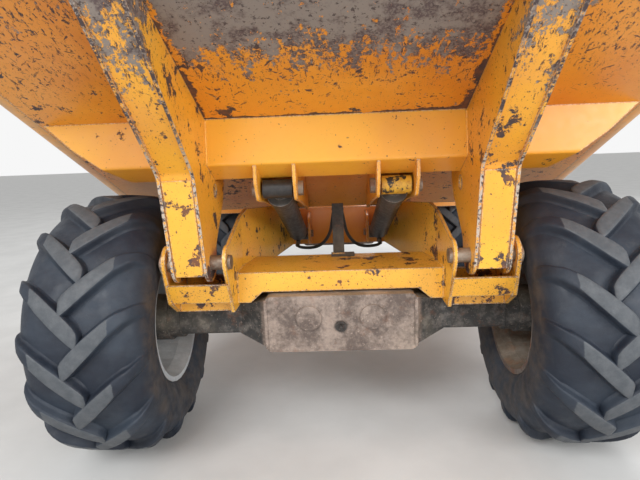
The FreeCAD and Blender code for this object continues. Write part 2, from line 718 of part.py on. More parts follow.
def ram_pin_ends():
    """Ends of the rams' front pins, outside and inside their webs; the eye hides the rest."""
    made = []
    y = fy(RAM_EYE_Y)
    for inner, outer in ((RAM_X - WEB_GAP / 2 - WEB_T, -1), (RAM_X + WEB_GAP / 2 + WEB_T, 1)):
        x0, x1 = (inner - 22, inner) if outer < 0 else (inner, inner + 22)
        made += pair(rod_x(y, RAM_EYE_Z, 32, x0, x1))
    return made


# Tipping rams

def along_ram():
    """Unit vector from a ram's rear pin to its front eye, and their distance."""
    way = Vector(0, RAM_EYE_Y - RAM_REAR_Y, RAM_EYE_Z - RAM_REAR_Z)
    length = way.Length
    return way.normalize(), length


def ram_port(x):
    """Middle of the elbow below a ram's rear end, where its hose comes in."""
    way, length = along_ram()
    return Vector(x, fy(RAM_REAR_Y), RAM_REAR_Z) + way * 96 - Vector(0, 0, RAM_BARREL_R + 20)


def hose_post():
    """Flat post on the crossmember with a stub for each ram's hose."""
    y0 = fy(HOSE_POST_Y)
    post = block(-28, 28, y0, y0 + 12, CROSS_TOP_Z + 5, HOSE_TOP_Z + 30)
    foot = block(-38, 78, y0 - 25, y0 + 40, CROSS_TOP_Z, CROSS_TOP_Z + 10)
    stubs = [rod_y(s * 17, HOSE_TOP_Z, 13, y0 + 10, y0 + 36) for s in (-1, 1)]
    return fused(post, foot, *stubs)


def hose(sign):
    """Hose from the post's stub back and down to the elbow below a ram."""
    end = ram_port(RAM_X) - Vector(0, 40.3, 0)
    start = Vector(17, fy(HOSE_POST_Y) + 36, HOSE_TOP_Z)
    # shares of the way from start to end: across, along, down
    way = [(0.0, 0.15, 0.0), (0.05, 0.34, 0.26), (0.13, 0.50, 0.66), (0.42, 0.64, 0.97), (1.0, 0.78, 1.0)]
    span = end - start
    points = [start] + [start + Vector(span.x * a, span.y * b, span.z * c) for a, b, c in way] + [end]
    edges = []
    last = points[0]
    for before, here, after in zip(points, points[1:], points[2:]):
        u, w = before - here, after - here
        reach = 0.45 * min(u.Length, w.Length)
        u.normalize()
        w.normalize()
        half = u.getAngle(w) / 2
        bend = reach * math.tan(half)
        middle = here + (u + w).normalize() * (bend / math.sin(half) - bend)
        edges.append(Part.makeLine(last, here + u * reach))
        edges.append(Part.Arc(here + u * reach, middle, here + w * reach).toShape())
        last = here + w * reach
    edges.append(Part.makeLine(last, end))
    path = Part.Wire(edges)
    circle = Part.makeCircle(HOSE_R, start, points[1] - start)
    made = path.makePipeShell([Part.Wire(circle)], True, False)
    return made if sign > 0 else mirrored(made)


def ram_barrel(x):
    way, length = along_ram()
    foot = Vector(x, fy(RAM_REAR_Y), RAM_REAR_Z)
    barrel = Part.makeCylinder(RAM_BARREL_R, length - 190, foot + way * 70, way)
    gland = Part.makeCylinder(RAM_BARREL_R + 6, 62, foot + way * (length - 132), way)
    side = math.copysign(1, x)
    tail = rod_x(foot.y, foot.z, 38, *sorted((x - side * RAM_TAIL_IN, x + side * RAM_TAIL_OUT)))
    neck_piece = Part.makeCylinder(30, 90, foot + way * 10, way)
    port_at = ram_port(x)
    port = Part.makeCylinder(14, RAM_BARREL_R, port_at, Vector(0, 0, 1))
    elbow = Part.makeCylinder(13, 52, port_at + Vector(0, 12, 0), Vector(0, -1, 0))
    whole = fused(barrel, gland, tail, neck_piece, port, elbow)
    whole = whole.cut(rod_x(foot.y, foot.z, RAM_PIN_R + TURN_GAP, x - 80, x + 80))
    return whole.cut(Part.makeCylinder(RAM_ROD_R + TURN_GAP, length, foot + way * 320, way))


def ram_rod(x):
    way, length = along_ram()
    foot = Vector(x, fy(RAM_REAR_Y), RAM_REAR_Z)
    shaft = Part.makeCylinder(RAM_ROD_R, length - 345, foot + way * 325, way)
    eye = rod_x(fy(RAM_EYE_Y), RAM_EYE_Z, RAM_EYE_R, x - RAM_EYE_W / 2, x + RAM_EYE_W / 2)
    return fused(shaft, eye)


# Centre pivot, steering and drive shafts

AXLE_NOSE_END = -355           # end of the rear axle's nose ahead of that axle
SHAFT_Z = 528
SHAFT_R = 32
SHAFT_BALL_R = 45
STEER_Z = PIVOT_Z
STEER_X = 455
STEER_REAR = 655               # barrel's pin ahead of the steering axis
ARM_X = 245
ARM_Y = 62
STEER_BARREL_R = 38
STEER_ROD_R = 20


def pivot_block():
    """Tube on the king pin, a shaft to the rear for rolling, and the steering arm."""
    low, high = NECK_LOW_Z + NECK_T + 4, NECK_TOP_Z - NECK_T - 4
    post = rod_z(0, PIVOT_Y, KING_TUBE_R, low, high)
    shaft = rod_y(0, PIVOT_Z, ROLL_SHAFT_R, PIVOT_Y, py(ROLL_SHAFT_END))
    collar = rod_y(0, PIVOT_Z, 84, py(58), py(98))
    plates = []
    for z in (STEER_Z - 40, STEER_Z + 22):
        outline = [(0, py(-52), 0), (ARM_X + 34, py(ARM_Y - 36), 32), (ARM_X + 34, py(ARM_Y + 36), 32), (0, py(56), 0)]
        plates.append(prism_z(outline, z, z + 18))
    whole = fused(post, shaft, collar, *plates)
    return whole.cut(rod_z(0, PIVOT_Y, KING_PIN_R + TURN_GAP, low - 10, high + 10))


def roll_nut():
    """Retaining disc behind the bearing of the rolling shaft."""
    return rod_y(0, PIVOT_Z, 76, py(ROLL_SHAFT_END), py(ROLL_SHAFT_END + 20))


def along_steering():
    way = Vector(ARM_X - STEER_X, ARM_Y + STEER_REAR, 0)
    length = way.Length
    return way.normalize(), length


def steering_barrel():
    way, length = along_steering()
    foot = Vector(STEER_X, py(-STEER_REAR), STEER_Z)
    tail = rod_z(foot.x, foot.y, 30, STEER_Z - 20, STEER_Z + 20)
    barrel = Part.makeCylinder(STEER_BARREL_R, length - 274, foot + way * 75, way)
    neck_piece = Part.makeCylinder(20, 80, foot + way * 8, way)
    whole = fused(tail, neck_piece, barrel)
    whole = whole.cut(rod_z(foot.x, foot.y, 15 + TURN_GAP, STEER_Z - 40, STEER_Z + 40))
    return whole.cut(Part.makeCylinder(STEER_ROD_R + TURN_GAP, length, foot + way * 88, way))


def steering_rod():
    way, length = along_steering()
    foot = Vector(STEER_X, py(-STEER_REAR), STEER_Z)
    shaft = Part.makeCylinder(STEER_ROD_R, length - 247, foot + way * 232, way)
    eye = rod_z(ARM_X, py(ARM_Y), 26, STEER_Z - 18, STEER_Z + 18)
    return fused(shaft, eye)


def steering_bracket():
    """Ears on the front frame's side plate that hold the steering ram's barrel, with their pin."""
    made = []
    y = py(-STEER_REAR)
    for z in (STEER_Z - 42, STEER_Z + 24):
        made.append(prism_z([(330, y - 90, 0), (STEER_X + 32, y - 32, 30), (STEER_X + 32, y + 32, 30), (330, y + 40, 0)],
                            z, z + 18))
    plan = prism_z([(EAR_IN + PLATE_T, fy(SIDE_BEND_Y)), (FRAME_END_X, fy(FRAME_WALL_Y)), (600, fy(FRAME_WALL_Y)),
                    (600, fy(SIDE_BEND_Y))], 600, 1000)
    pin = rod_z(STEER_X, y, 15, STEER_Z - 50, STEER_Z + 50)
    return fused(*[m.common(plan) for m in made], pin)


# Rear frame

def rear_frame():
    """Two channel rails, front bearing plate, end plate and the cross members that carry the body."""
    y0, y1 = py(150), ry(REAR_PLATE_Y)
    rails = []
    for s in (-1, 1):
        x = RAIL_IN + RAIL_T
        low, top, t, f = RAIL_LOW_Z, RAIL_TOP_Z, RAIL_T, RAIL_FLANGE
        outline = [(x, low), (x, top), (x - f, top), (x - f, top - t), (x - t, top - t), (x - t, low + t),
                   (x - f, low + t), (x - f, low)]
        rails.append(prism_y([(s * a, b) for a, b in outline], y0 + 25, y1))
    plate = prism_y([(-335, 700, 40), (335, 700, 40), (335, 965, 60), (-335, 965, 60)], y0 - 5, y0 + 25)
    tube_piece = rod_y(0, PIVOT_Z, 88, py(105), py(ROLL_SHAFT_END - 8))
    end = block(-450, 450, y1, y1 + 20, 520, 930)
    cross = []
    side = RAIL_IN + RAIL_T
    for y, reach in ((ry(-430), SIDE_X), (ry(ROPS_Y) - 50, ROPS_X + 60), (ry(560), SIDE_X)):
        width = 100 if reach < SIDE_X else 60
        cross += pair(block(side, reach, y, y + width, OUTRIGGER_Z - 60, OUTRIGGER_Z))
    frame = fused(*rails, plate, tube_piece, end, *cross)
    return frame.cut(rod_y(0, PIVOT_Z, ROLL_SHAFT_R + TURN_GAP, py(100), py(ROLL_SHAFT_END + 10)))


def engine():
    return block(-235, 235, ry(20), ry(690), RAIL_LOW_Z + 15, GUARD_TOP_Z - 20)


def gearbox():
    """Gearbox ahead of the engine, with the transfer case that drives both axles."""
    low = RAIL_LOW_Z + 15
    bell = Part.makeCone(200, 130, 180, Vector(0, ry(20), low + 205), Vector(0, -1, 0))
    box = block(-150, 150, ry(PLATFORM_Y) + 10, ry(-150), low, 1000)
    front = block(-150, 150, ry(-500), ry(PLATFORM_Y) + 12, low, RAIL_TOP_Z - 12)
    drop = prism_y([(-120, 540, 50), (120, 540, 50), (150, low, 0), (-150, low, 0)], ry(-500), ry(AXLE_NOSE_END - 20))
    flange = rod_y(0, AXLE_Z - AXLE_DROP + 10, 55, ry(AXLE_NOSE_END - 25), ry(AXLE_NOSE_END))
    return fused(bell, box, front, drop, flange)


def shaft_between(y0, z0, y1, z1, r):
    way = Vector(0, y1 - y0, z1 - z0)
    return Part.makeCylinder(r, way.Length, Vector(0, y0, z0), way)


def front_shaft():
    """Shaft from the front axle's nose to a joint ball below the king pin."""
    y0, z0 = fy(-AXLE_NOSE_END), AXLE_Z + 5
    flange = rod_y(0, z0, 52, y0, y0 + 16)
    shaft = shaft_between(y0 + 8, z0, PIVOT_Y, SHAFT_Z, SHAFT_R)
    arc = [math.pi * k / 8 for k in range(9)]
    ball = faceted_turning([(-SHAFT_BALL_R * math.cos(a), SHAFT_BALL_R * math.sin(a) if 0 < k < 8 else 0)
                            for k, a in enumerate(arc)], 18).translated(Vector(0, PIVOT_Y, SHAFT_Z))
    return fused(flange, shaft, ball)


def rear_shaft():
    """Shaft from the transfer case forwards to the joint ball."""
    y1, z1 = ry(-500), 605
    flange = rod_y(0, z1, 52, y1 - 16, y1)
    return fused(shaft_between(PIVOT_Y + SHAFT_BALL_R + 8, SHAFT_Z + 4, y1 - 8, z1, SHAFT_R), flange)


def counterweight():
    """Cast weight across the rear end."""
    y = ry(REAR_PLATE_Y + 20)
    outline = [(-620, 520, 30), (620, 520, 30), (620, 900, 60), (520, 960, 40), (-520, 960, 40), (-620, 900, 60)]
    weight = prism_y(outline, y, y + 85)
    return weight


def tow_jaw():
    """Two plates and a back plate with a bore for a drop pin."""
    y = ry(REAR_PLATE_Y + 105)
    end = ry(REAR_OVERHANG)
    plates = [prism_z([(-60, y, 0), (60, y, 0), (50, end, 40), (-50, end, 40)], z, z + 16) for z in (620, 704)]
    back = block(-80, 80, y, y + 14, 600, 740)
    jaw = fused(back, *plates)
    return jaw.cut(rod_z(0, end - 42, 16, 500, 900))


def deck():
    """Driver's floor with its front kick plate."""
    y0, y1 = py(310), ry(-430)
    floor = block(-DECK_HALF_W, DECK_HALF_W, y0, y1, RAIL_TOP_Z, RAIL_TOP_Z + DECK_T)
    kick = block(RAIL_IN + RAIL_T + 4, DECK_HALF_W, y0, y0 + 6, RAIL_TOP_Z - 90, RAIL_TOP_Z)
    return fused(floor, *pair(kick))


def tank(sign):
    """Side tank below the deck, with rounded edges and its two steps."""
    x0, x1 = RAIL_IN + RAIL_T + 4, DECK_HALF_W - 10
    y0, y1 = py(330), ry(-640)
    body = prism_x([(y0, 620, 40), (y1, 620, 40), (y1, RAIL_TOP_Z, 0), (y0, RAIL_TOP_Z, 0)], x0, x1)
    step_y0, step_y1 = y0 + 20, y1 - 20
    made = [body]
    for z in (430, 640):
        made.append(block(x1, x1 + 170, step_y0, step_y1, z, z + 8))
    for y in (step_y0, step_y1 - 8):
        made.append(prism_y([(x1, 430), (x1 + 170, 430), (x1 + 170, 648), (x1, 700)], y, y + 8))
    hanger = block(x1 - 8, x1, step_y0, step_y1, 430, 700)
    whole = fused(*made, hanger)
    return whole if sign > 0 else mirrored(whole)


def console():
    """Dash column with the steering column on top."""
    foot = py(360)
    column = prism_x([(foot, RAIL_TOP_Z + DECK_T), (foot + 190, RAIL_TOP_Z + DECK_T), (foot + 150, 1330, 20),
                      (foot + 20, 1400, 20)], -190, 190)
    centre, up = wheel_axis()
    return column.cut(Part.makeCylinder(COLUMN_R + SIDE_GAP / 6, 400, centre - up * 400, up))


WHEEL_TILT = math.radians(35)
WHEEL_Y = 560                  # steering wheel's centre, behind the steering axis
WHEEL_Z = 1500


COLUMN_R = 20


def wheel_axis():
    """Centre of the steering wheel and the direction its column points."""
    up = Vector(0, math.sin(WHEEL_TILT), math.cos(WHEEL_TILT))
    return Vector(0, py(WHEEL_Y), WHEEL_Z), up


def steering_wheel():
    centre, up = wheel_axis()
    section = [(15 * math.cos(k * math.pi / 4), 185 + 15 * math.sin(k * math.pi / 4)) for k in range(8)]
    ring = faceted_turning(section, 44)
    ring.Placement = FreeCAD.Placement(centre, FreeCAD.Rotation(Vector(1, 0, 0), up))
    hub = Part.makeCylinder(34, 46, centre - up * 40, up)
    column = Part.makeCylinder(COLUMN_R, 260, centre - up * 260, up)
    spokes = []
    side = Vector(1, 0, 0)
    flat = up.cross(side)
    for angle in (90, 210, 330):
        way = side * math.cos(math.radians(angle)) + flat * math.sin(math.radians(angle))
        spokes.append(Part.makeCylinder(9, 165, centre + way * 20 - up * 12, way))
    return fused(ring, hub, column, *spokes)


def seat_platform():
    """Front wall and top of the platform between the mudguards, with the seat's runners."""
    x = SIDE_X
    y0, y1 = ry(PLATFORM_Y), ry(BONNET_FRONT_Y) - 60
    front = block(-x, x, y0, y0 + GUARD_T, RAIL_TOP_Z + DECK_T, GUARD_TOP_Z)
    top = block(-x, x, y0, y1, GUARD_TOP_Z - GUARD_T, GUARD_TOP_Z)
    runners = pair(block(120, 170, ry(-470), ry(-120), GUARD_TOP_Z, SEAT_Z))
    whole = fused(front, top, *runners)
    for s in (-1, 1):
        w, d = ROPS_W / 2 + SIDE_GAP, ROPS_D / 2 + SIDE_GAP
        whole = whole.cut(block(s * ROPS_X - w, s * ROPS_X + w, ry(ROPS_Y) - d, ry(ROPS_Y) + d, 1000, 1400))
    return whole


def seat():
    """Cushion and backrest of the driver's seat, as one soft piece."""
    z = SEAT_Z + 0.3
    outline = [
        (ry(-520), z, 20), (ry(-120), z, 20), (ry(-60), z + 490, 30), (ry(-150), z + 520, 40), (ry(-215), z + 150, 60),
        (ry(-510), z + 120, 40),
    ]
    return prism_x(outline, -240, 240)


def mudguard():
    """Left mudguard: inner panel, and a top that follows the wheel at a distance."""
    inner = prism_x([
        (ry(-640), 850, 0), (ry(-590), 1160, 40), (ry(-440), GUARD_TOP_Z, 60), (ry(400), GUARD_TOP_Z, 60),
        (ry(620), 1080, 20), (ry(REAR_PLATE_Y), 1080, 0), (ry(REAR_PLATE_Y), 850, 0),
    ], SIDE_X, SIDE_X + GUARD_T)
    t = GUARD_T
    outer = [(ry(-640), 850, 0), (ry(-590), 1160, 40), (ry(-440), GUARD_TOP_Z, 60), (ry(400), GUARD_TOP_Z, 60), (ry(620), 1080, 0)]
    inside = [(ry(620) - 4, 1080 - t, 0), (ry(400) - 2, GUARD_TOP_Z - t, 54), (ry(-440) + 2, GUARD_TOP_Z - t, 54),
              (ry(-590) + t, 1160 - 3, 34), (ry(-640) + t, 850, 0)]
    top = prism_x(outer + inside, SIDE_X + GUARD_T, 1245)
    ledge = block(BONNET_HALF_W - 20, SIDE_X, ry(BONNET_FRONT_Y), ry(400), GUARD_TOP_Z - 6, GUARD_TOP_Z)
    return fused(inner, top, ledge)


def bonnet():
    """Engine cover, open below, with a louvred rear wall."""
    y0, y1 = ry(BONNET_FRONT_Y), ry(BONNET_REAR_Y)
    z0, z1, t, w = GUARD_TOP_Z + 4, BONNET_TOP_Z, BONNET_T, BONNET_HALF_W
    outer = prism_y([(-w, z0, 0), (w, z0, 0), (w, z1, 90), (-w, z1, 90)], y0, y1)
    slope = prism_x([(y1 + 1, z1 - 190), (y1 - 330, z1 + 1), (y1 + 1, z1 + 1)], -w - 1, w + 1)
    outer = outer.cut(slope)
    inner = prism_y([(-w + t, z0 - 1, 0), (w - t, z0 - 1, 0), (w - t, z1 - t, 86), (-w + t, z1 - t, 86)], y0 + t, y1 - t)
    slope_in = prism_x([(y1 - t + 1, z1 - 190 - 6), (y1 - 330 - 3, z1 - t + 1), (y1 + 1, z1 + 1)], -w - 1, w + 1)
    shell = outer.cut(inner.cut(slope_in))
    slots = []
    for k in range(4):
        z = z0 + 12 + k * 18
        slots.append(block(-280, 280, y1 - 3 * t, y1 + 3 * t, z, z + 8))
    return shell.cut(Part.makeCompound(slots))


def rear_panel():
    """Panel behind the seat that closes the engine bay, with the bonnet's hinge on its top edge."""
    y = ry(BONNET_FRONT_Y) - 12
    panel = block(-BONNET_HALF_W, BONNET_HALF_W, y - 12, y, GUARD_TOP_Z, BONNET_TOP_Z - 60)
    foot = block(-SIDE_X, SIDE_X, y - 48, y + 12, GUARD_TOP_Z - 6, GUARD_TOP_Z)
    knuckles = []
    for x in (-330, -150, 110, 290):
        knuckles.append(rod_x(y + 7, BONNET_TOP_Z - 60, HINGE_R, x, x + 40))
        knuckles.append(block(x, x + 40, y - 1, y + 7, BONNET_TOP_Z - 60 - HINGE_R, BONNET_TOP_Z - 60 + HINGE_R))
    for s in (-1, 1):
        w, d = ROPS_W / 2 + SIDE_GAP, ROPS_D / 2 + SIDE_GAP
        foot = foot.cut(block(s * ROPS_X - w, s * ROPS_X + w, ry(ROPS_Y) - d, ry(ROPS_Y) + d, 1000, 1400))
    return fused(panel, foot, *knuckles)


def engine_panels():
    """Side panels of the engine bay and its rear wall, each with a row of louvre slots."""
    x, t = BONNET_HALF_W, GUARD_T
    y0, y1 = ry(BONNET_FRONT_Y), ry(BONNET_REAR_Y)
    z0, z1 = RAIL_TOP_Z, GUARD_TOP_Z - 6
    side = block(x - t, x, y0, y1, z0, z1)
    for k in range(5):
        z = z0 + 90 + k * 40
        side = side.cut(block(x - 2 * t, x + t, y0 + 280, y1 - 120, z, z + 16))
    rear = block(-x + t, x - t, y1 - t, y1, z0 + 60, z1)
    for k in range(7):
        z = z0 + 90 + k * 32
        rear = rear.cut(block(-280, 280, y1 - 2 * t, y1 + t, z, z + 12))
    return pair(side) + [rear]


def rops():
    """Roll-over frame of square tube, with feet on the rear frame's outriggers."""
    y = ry(ROPS_Y)
    z = OUTRIGGER_Z
    outer = prism_y([(-ROPS_X - ROPS_W / 2, z, 0), (ROPS_X + ROPS_W / 2, z, 0), (ROPS_X + ROPS_W / 2, ROPS_TOP_Z, 170),
                     (-ROPS_X - ROPS_W / 2, ROPS_TOP_Z, 170)], y - ROPS_D / 2, y + ROPS_D / 2)
    inner = prism_y([(-ROPS_X + ROPS_W / 2, z - 50, 0), (ROPS_X - ROPS_W / 2, z - 50, 0),
                     (ROPS_X - ROPS_W / 2, ROPS_TOP_Z - ROPS_W, 90), (-ROPS_X + ROPS_W / 2, ROPS_TOP_Z - ROPS_W, 90)],
                    y - ROPS_D, y + ROPS_D)
    return outer.cut(inner)


def handrail(sign):
    x = sign * (DECK_HALF_W - 30)
    z = RAIL_TOP_Z + DECK_T
    y0, y1 = py(335), py(640)
    return faceted_tube([Vector(x, y0, z), Vector(x, y0, 1430), Vector(x, y1, 1430), Vector(x, y1, z)], 17, 90)


def lamps():
    """Rear lamp boxes on the counterweight, and the beacon on the roll-over frame."""
    y = ry(REAR_PLATE_Y + 105)
    lamp = block(420, 580, y, y + 45, 800, 880)
    post = rod_z(-ROPS_X + 200, ry(ROPS_Y), 14, ROPS_TOP_Z, ROPS_TOP_Z + 40)
    beacon = rod_z(-ROPS_X + 200, ry(ROPS_Y), 60, ROPS_TOP_Z + 40, ROPS_TOP_Z + 160)
    return pair(lamp), fused(post, beacon)


def exhaust():
    x, y = -560, ry(110)
    return fused(rod_z(x, y, 62, GUARD_TOP_Z, 1620), rod_z(x, y, 26, 1600, 1980))


def main():
    wheels()
    write("front_axle", axle(FRONT_AXLE_Y, 1))
    write("rear_axle", axle(REAR_AXLE_Y, -1))
    plate = side_plate_front()
    write("front_side_plates", pair(plate))
    write("front_crossmember", crossmember_front())
    write("skip_brackets", pair(bracket_left()))
    write("front_neck", neck())
    write("hose_post", hose_post())
    write("front_pins", pair(tip_pin_left()) + ram_pins() + [king_pin()])
    bottom, rear, left, right = skip_panels()
    write("skip_bottom", bottom)
    write("skip_rear_wall", rear)
    write("skip_side_left", left)
    write("skip_side_right", right)
    write("skip_rim", skip_rim())
    write("skip_lip", lip_strip())
    write("skip_ribs", pair(rib_left()))
    write("skip_cross_beam", cross_beam())
    write("ram_webs", ram_webs())
    write("ram_pin_ends", ram_pin_ends())
    for side, sign in (("left", 1), ("right", -1)):
        write("ram_barrel_" + side, ram_barrel(sign * RAM_X))
        write("ram_rod_" + side, ram_rod(sign * RAM_X))
        write("tank_" + side, tank(sign))
        write("hose_" + side, hose(sign))
    write("pivot_block", [pivot_block(), roll_nut()])
    write("steering_barrel", steering_barrel())
    write("steering_rod", steering_rod())
    write("steering_bracket", steering_bracket())
    write("rear_frame", rear_frame())
    write("engine", engine())
    write("gearbox", gearbox())
    write("counterweight", counterweight())
    write("tow_jaw", tow_jaw())
    write("deck", deck())
    write("console", console())
    write("steering_wheel", steering_wheel())
    write("seat_platform", seat_platform())
    write("seat", seat())
    write("mudguards", pair(mudguard()))
    write("bonnet", bonnet())
    write("rear_panel", rear_panel())
    write("engine_panels", engine_panels())
    write("front_shaft", front_shaft())
    write("rear_shaft", rear_shaft())
    write("roll_over_frame", rops())
    write("handrails", [handrail(1), handrail(-1)])
    rear_lamps, beacon = lamps()
    write("rear_lamps", rear_lamps)
    write("beacon", beacon)
    write("exhaust", exhaust())


main()
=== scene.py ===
import bpy
import bmesh
import math
import random
from mathutils import Matrix, Vector


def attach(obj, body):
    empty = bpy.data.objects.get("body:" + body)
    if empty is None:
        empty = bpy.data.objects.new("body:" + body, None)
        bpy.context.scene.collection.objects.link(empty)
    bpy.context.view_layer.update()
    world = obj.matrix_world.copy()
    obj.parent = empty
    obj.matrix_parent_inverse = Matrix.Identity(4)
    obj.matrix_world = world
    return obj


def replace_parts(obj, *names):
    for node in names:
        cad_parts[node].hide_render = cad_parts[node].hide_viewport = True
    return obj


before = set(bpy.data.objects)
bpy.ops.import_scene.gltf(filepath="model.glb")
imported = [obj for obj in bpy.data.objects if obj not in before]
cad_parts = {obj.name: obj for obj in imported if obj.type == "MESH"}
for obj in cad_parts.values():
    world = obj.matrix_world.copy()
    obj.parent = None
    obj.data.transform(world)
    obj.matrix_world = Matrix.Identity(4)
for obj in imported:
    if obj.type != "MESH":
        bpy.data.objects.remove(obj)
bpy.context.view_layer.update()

# A front-tip site dumper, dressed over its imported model. Metres, +Z up, the skip's lip towards -Y.

FRONT_Y = -1.1775
REAR_Y = 1.3725
AXLE_Z = 0.585
HALF_TRACK = 0.995
X, Y, UP = Vector((1, 0, 0)), Vector((0, 1, 0)), Vector((0, 0, 1))
TURN = 2 * math.pi
SIDES = (("left", 1), ("right", -1))


def front(v):
    return FRONT_Y + v


def rear(v):
    return REAR_Y + v


def spread(count, start=0.0):
    """Angles of count places round a circle."""
    return [start + TURN * k / count for k in range(count)]


def linked(name, data):
    """A new object in the scene."""
    made = bpy.data.objects.new(name, data)
    bpy.context.scene.collection.objects.link(made)
    return made


# Camera

def look(position, yaw, pitch, roll, focal_px, width_px=640, sensor=36):
    """Camera turned by yaw about Z, tilted down by pitch and rolled, all in degrees."""
    yaw, pitch, roll = (math.radians(v) for v in (yaw, pitch, roll))
    ahead = Vector((-math.sin(yaw) * math.cos(pitch), math.cos(yaw) * math.cos(pitch), -math.sin(pitch)))
    right = Vector((math.cos(yaw), math.sin(yaw), 0))
    up = right.cross(ahead)
    x = right * math.cos(roll) + up * math.sin(roll)
    y = up * math.cos(roll) - right * math.sin(roll)
    data = bpy.data.cameras.new("camera")
    data.sensor_fit = "HORIZONTAL"
    data.sensor_width = sensor
    data.lens = focal_px / width_px * sensor
    data.clip_end = 200
    camera = linked("camera", data)
    camera.matrix_world = Matrix.Translation(position) @ Matrix((x, y, -ahead)).transposed().to_4x4()
    bpy.context.scene.camera = camera


look(Vector((0.0041, -3.3954, 1.323)), yaw=2.287, pitch=9.984, roll=-2.208, focal_px=490.5)


# Hoses of the tipping rams, from the post on the axle beam to the elbow below each ram

HOSE_D = 0.018
HOSE_ROUTE = [
    (0.017, -0.9415, 1.048), (0.017, -0.864, 1.048), (0.0288, -0.7659, 0.978), (0.0476, -0.6833, 0.8702),
    (0.1157, -0.611, 0.7867), (0.252, -0.5387, 0.7786), (0.252, -0.4251, 0.7786),
]
hoses = []
for side, sign in SIDES:
    route = [(sign * x, y, z) for x, y, z in HOSE_ROUTE]
    data = bpy.data.curves.new("ram_hose_" + side, "CURVE")
    data.dimensions = "3D"
    line = data.splines.new("NURBS")
    line.points.add(len(route) - 1)
    for point, place in zip(line.points, route):
        point.co = (*place, 1)
        point.radius = HOSE_D / 2
    line.order_u = 3
    line.use_endpoint_u = True
    line.resolution_u = 12
    data.bevel_depth = 1
    data.bevel_resolution = 4
    hose = linked("ram_hose_" + side, data)
    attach(hose, "front_chassis")
    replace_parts(hose, "hose_" + side)
    hoses.append(hose)


# Node helpers for materials

class Sheet:
    """A material under construction, with short calls for its nodes."""

    def __init__(self, name):
        self.material = bpy.data.materials.new(name)
        self.material.use_nodes = True
        self.tree = self.material.node_tree
        self.tree.nodes.clear()
        self.shader = self.node("ShaderNodeBsdfPrincipled")
        self.node("ShaderNodeOutputMaterial", {0: self.shader.outputs[0]})
        coordinates = self.node("ShaderNodeTexCoord")
        self.place = coordinates.outputs["Object"]
        self.facing = coordinates.outputs["Normal"]

    def node(self, kind, inputs=None, **settings):
        """A new node with its settings, and a value or link for each named or numbered input."""
        n = self.tree.nodes.new(kind)
        for key, value in settings.items():
            setattr(n, key, value)
        for key, value in (inputs or {}).items():
            self.put(n.inputs[key], value)
        return n

    def put(self, socket, value):
        if isinstance(value, bpy.types.NodeSocket):
            self.tree.links.new(value, socket)
        elif isinstance(value, (tuple, list)) and socket.type == "RGBA":
            socket.default_value = (*value[:3], 1)
        else:
            socket.default_value = value

    def noise(self, scale, detail=4, rough=0.55, at=None):
        fields = {"Vector": at or self.place, "Scale": scale, "Detail": detail, "Roughness": rough}
        return self.node("ShaderNodeTexNoise", fields).outputs[0]

    def spots(self, low, high, *noise):
        """Islands of a noise, which fade in between low and high."""
        return self.step(self.noise(*noise), low, high)

    def math(self, operation, a, b=0.0, clamp=False):
        return self.node("ShaderNodeMath", {0: a, 1: b}, operation=operation, use_clamp=clamp).outputs[0]

    def plus(self, a, b, clamp=False):
        return self.math("ADD", a, b, clamp)

    def minus(self, a, b):
        return self.math("SUBTRACT", a, b)

    def times(self, a, b, clamp=False):
        return self.math("MULTIPLY", a, b, clamp)

    def larger(self, a, b):
        return self.math("MAXIMUM", a, b)

    def vectors(self, operation, a, b, output="Value"):
        return self.node("ShaderNodeVectorMath", {0: a, 1: b}, operation=operation).outputs[output]

    def between(self, value, low, high, to_low, to_high, **settings):
        fields = {"Value": value, "From Min": low, "From Max": high, "To Min": to_low, "To Max": to_high}
        return self.node("ShaderNodeMapRange", fields, **settings).outputs[0]

    def step(self, value, low, high):
        """0 below low and 1 above high, or the other way round where low is the larger."""
        ends = (low, high, 0.0, 1.0) if low < high else (high, low, 1.0, 0.0)
        return self.between(value, *ends, interpolation_type="SMOOTHSTEP")

    def mix(self, share, a, b):
        return self.node("ShaderNodeMix", {0: share, 6: a, 7: b}, data_type="RGBA").outputs[2]

    def parts(self, vector=None):
        return self.node("ShaderNodeSeparateXYZ", {0: vector or self.place}).outputs

    def stretched(self, scale, turn=(0, 0, 0)):
        """Coordinates turned first and then scaled, so that the stretch runs along the turned axes."""
        turned = [math.radians(v) for v in turn]
        fields = {"Vector": self.place, "Scale": [1 / v for v in scale], "Rotation": turned}
        return self.node("ShaderNodeMapping", fields, vector_type="TEXTURE").outputs[0]

    def edges(self, radius):
        """1 on convex and concave edges, falling to 0 a radius away."""
        bevel = self.node("ShaderNodeBevel", {"Radius": radius}, samples=5).outputs[0]
        flat = self.node("ShaderNodeNewGeometry").outputs["Normal"]
        return self.minus(1.0, self.vectors("DOT_PRODUCT", bevel, flat))

    def relief(self, height, strength, distance, before=None):
        fields = {"Height": height, "Strength": strength, "Distance": distance}
        if before is not None:
            fields["Normal"] = before
        return self.node("ShaderNodeBump", fields).outputs[0]

    def finish(self, color, rough, normal, metal=0.0, **fixed):
        fields = {"Base Color": color, "Roughness": rough, "Metallic": metal, "Normal": normal}
        for key, value in (fields | fixed).items():
            self.put(self.shader.inputs[key.replace("_", " ")], value)
        return self.material


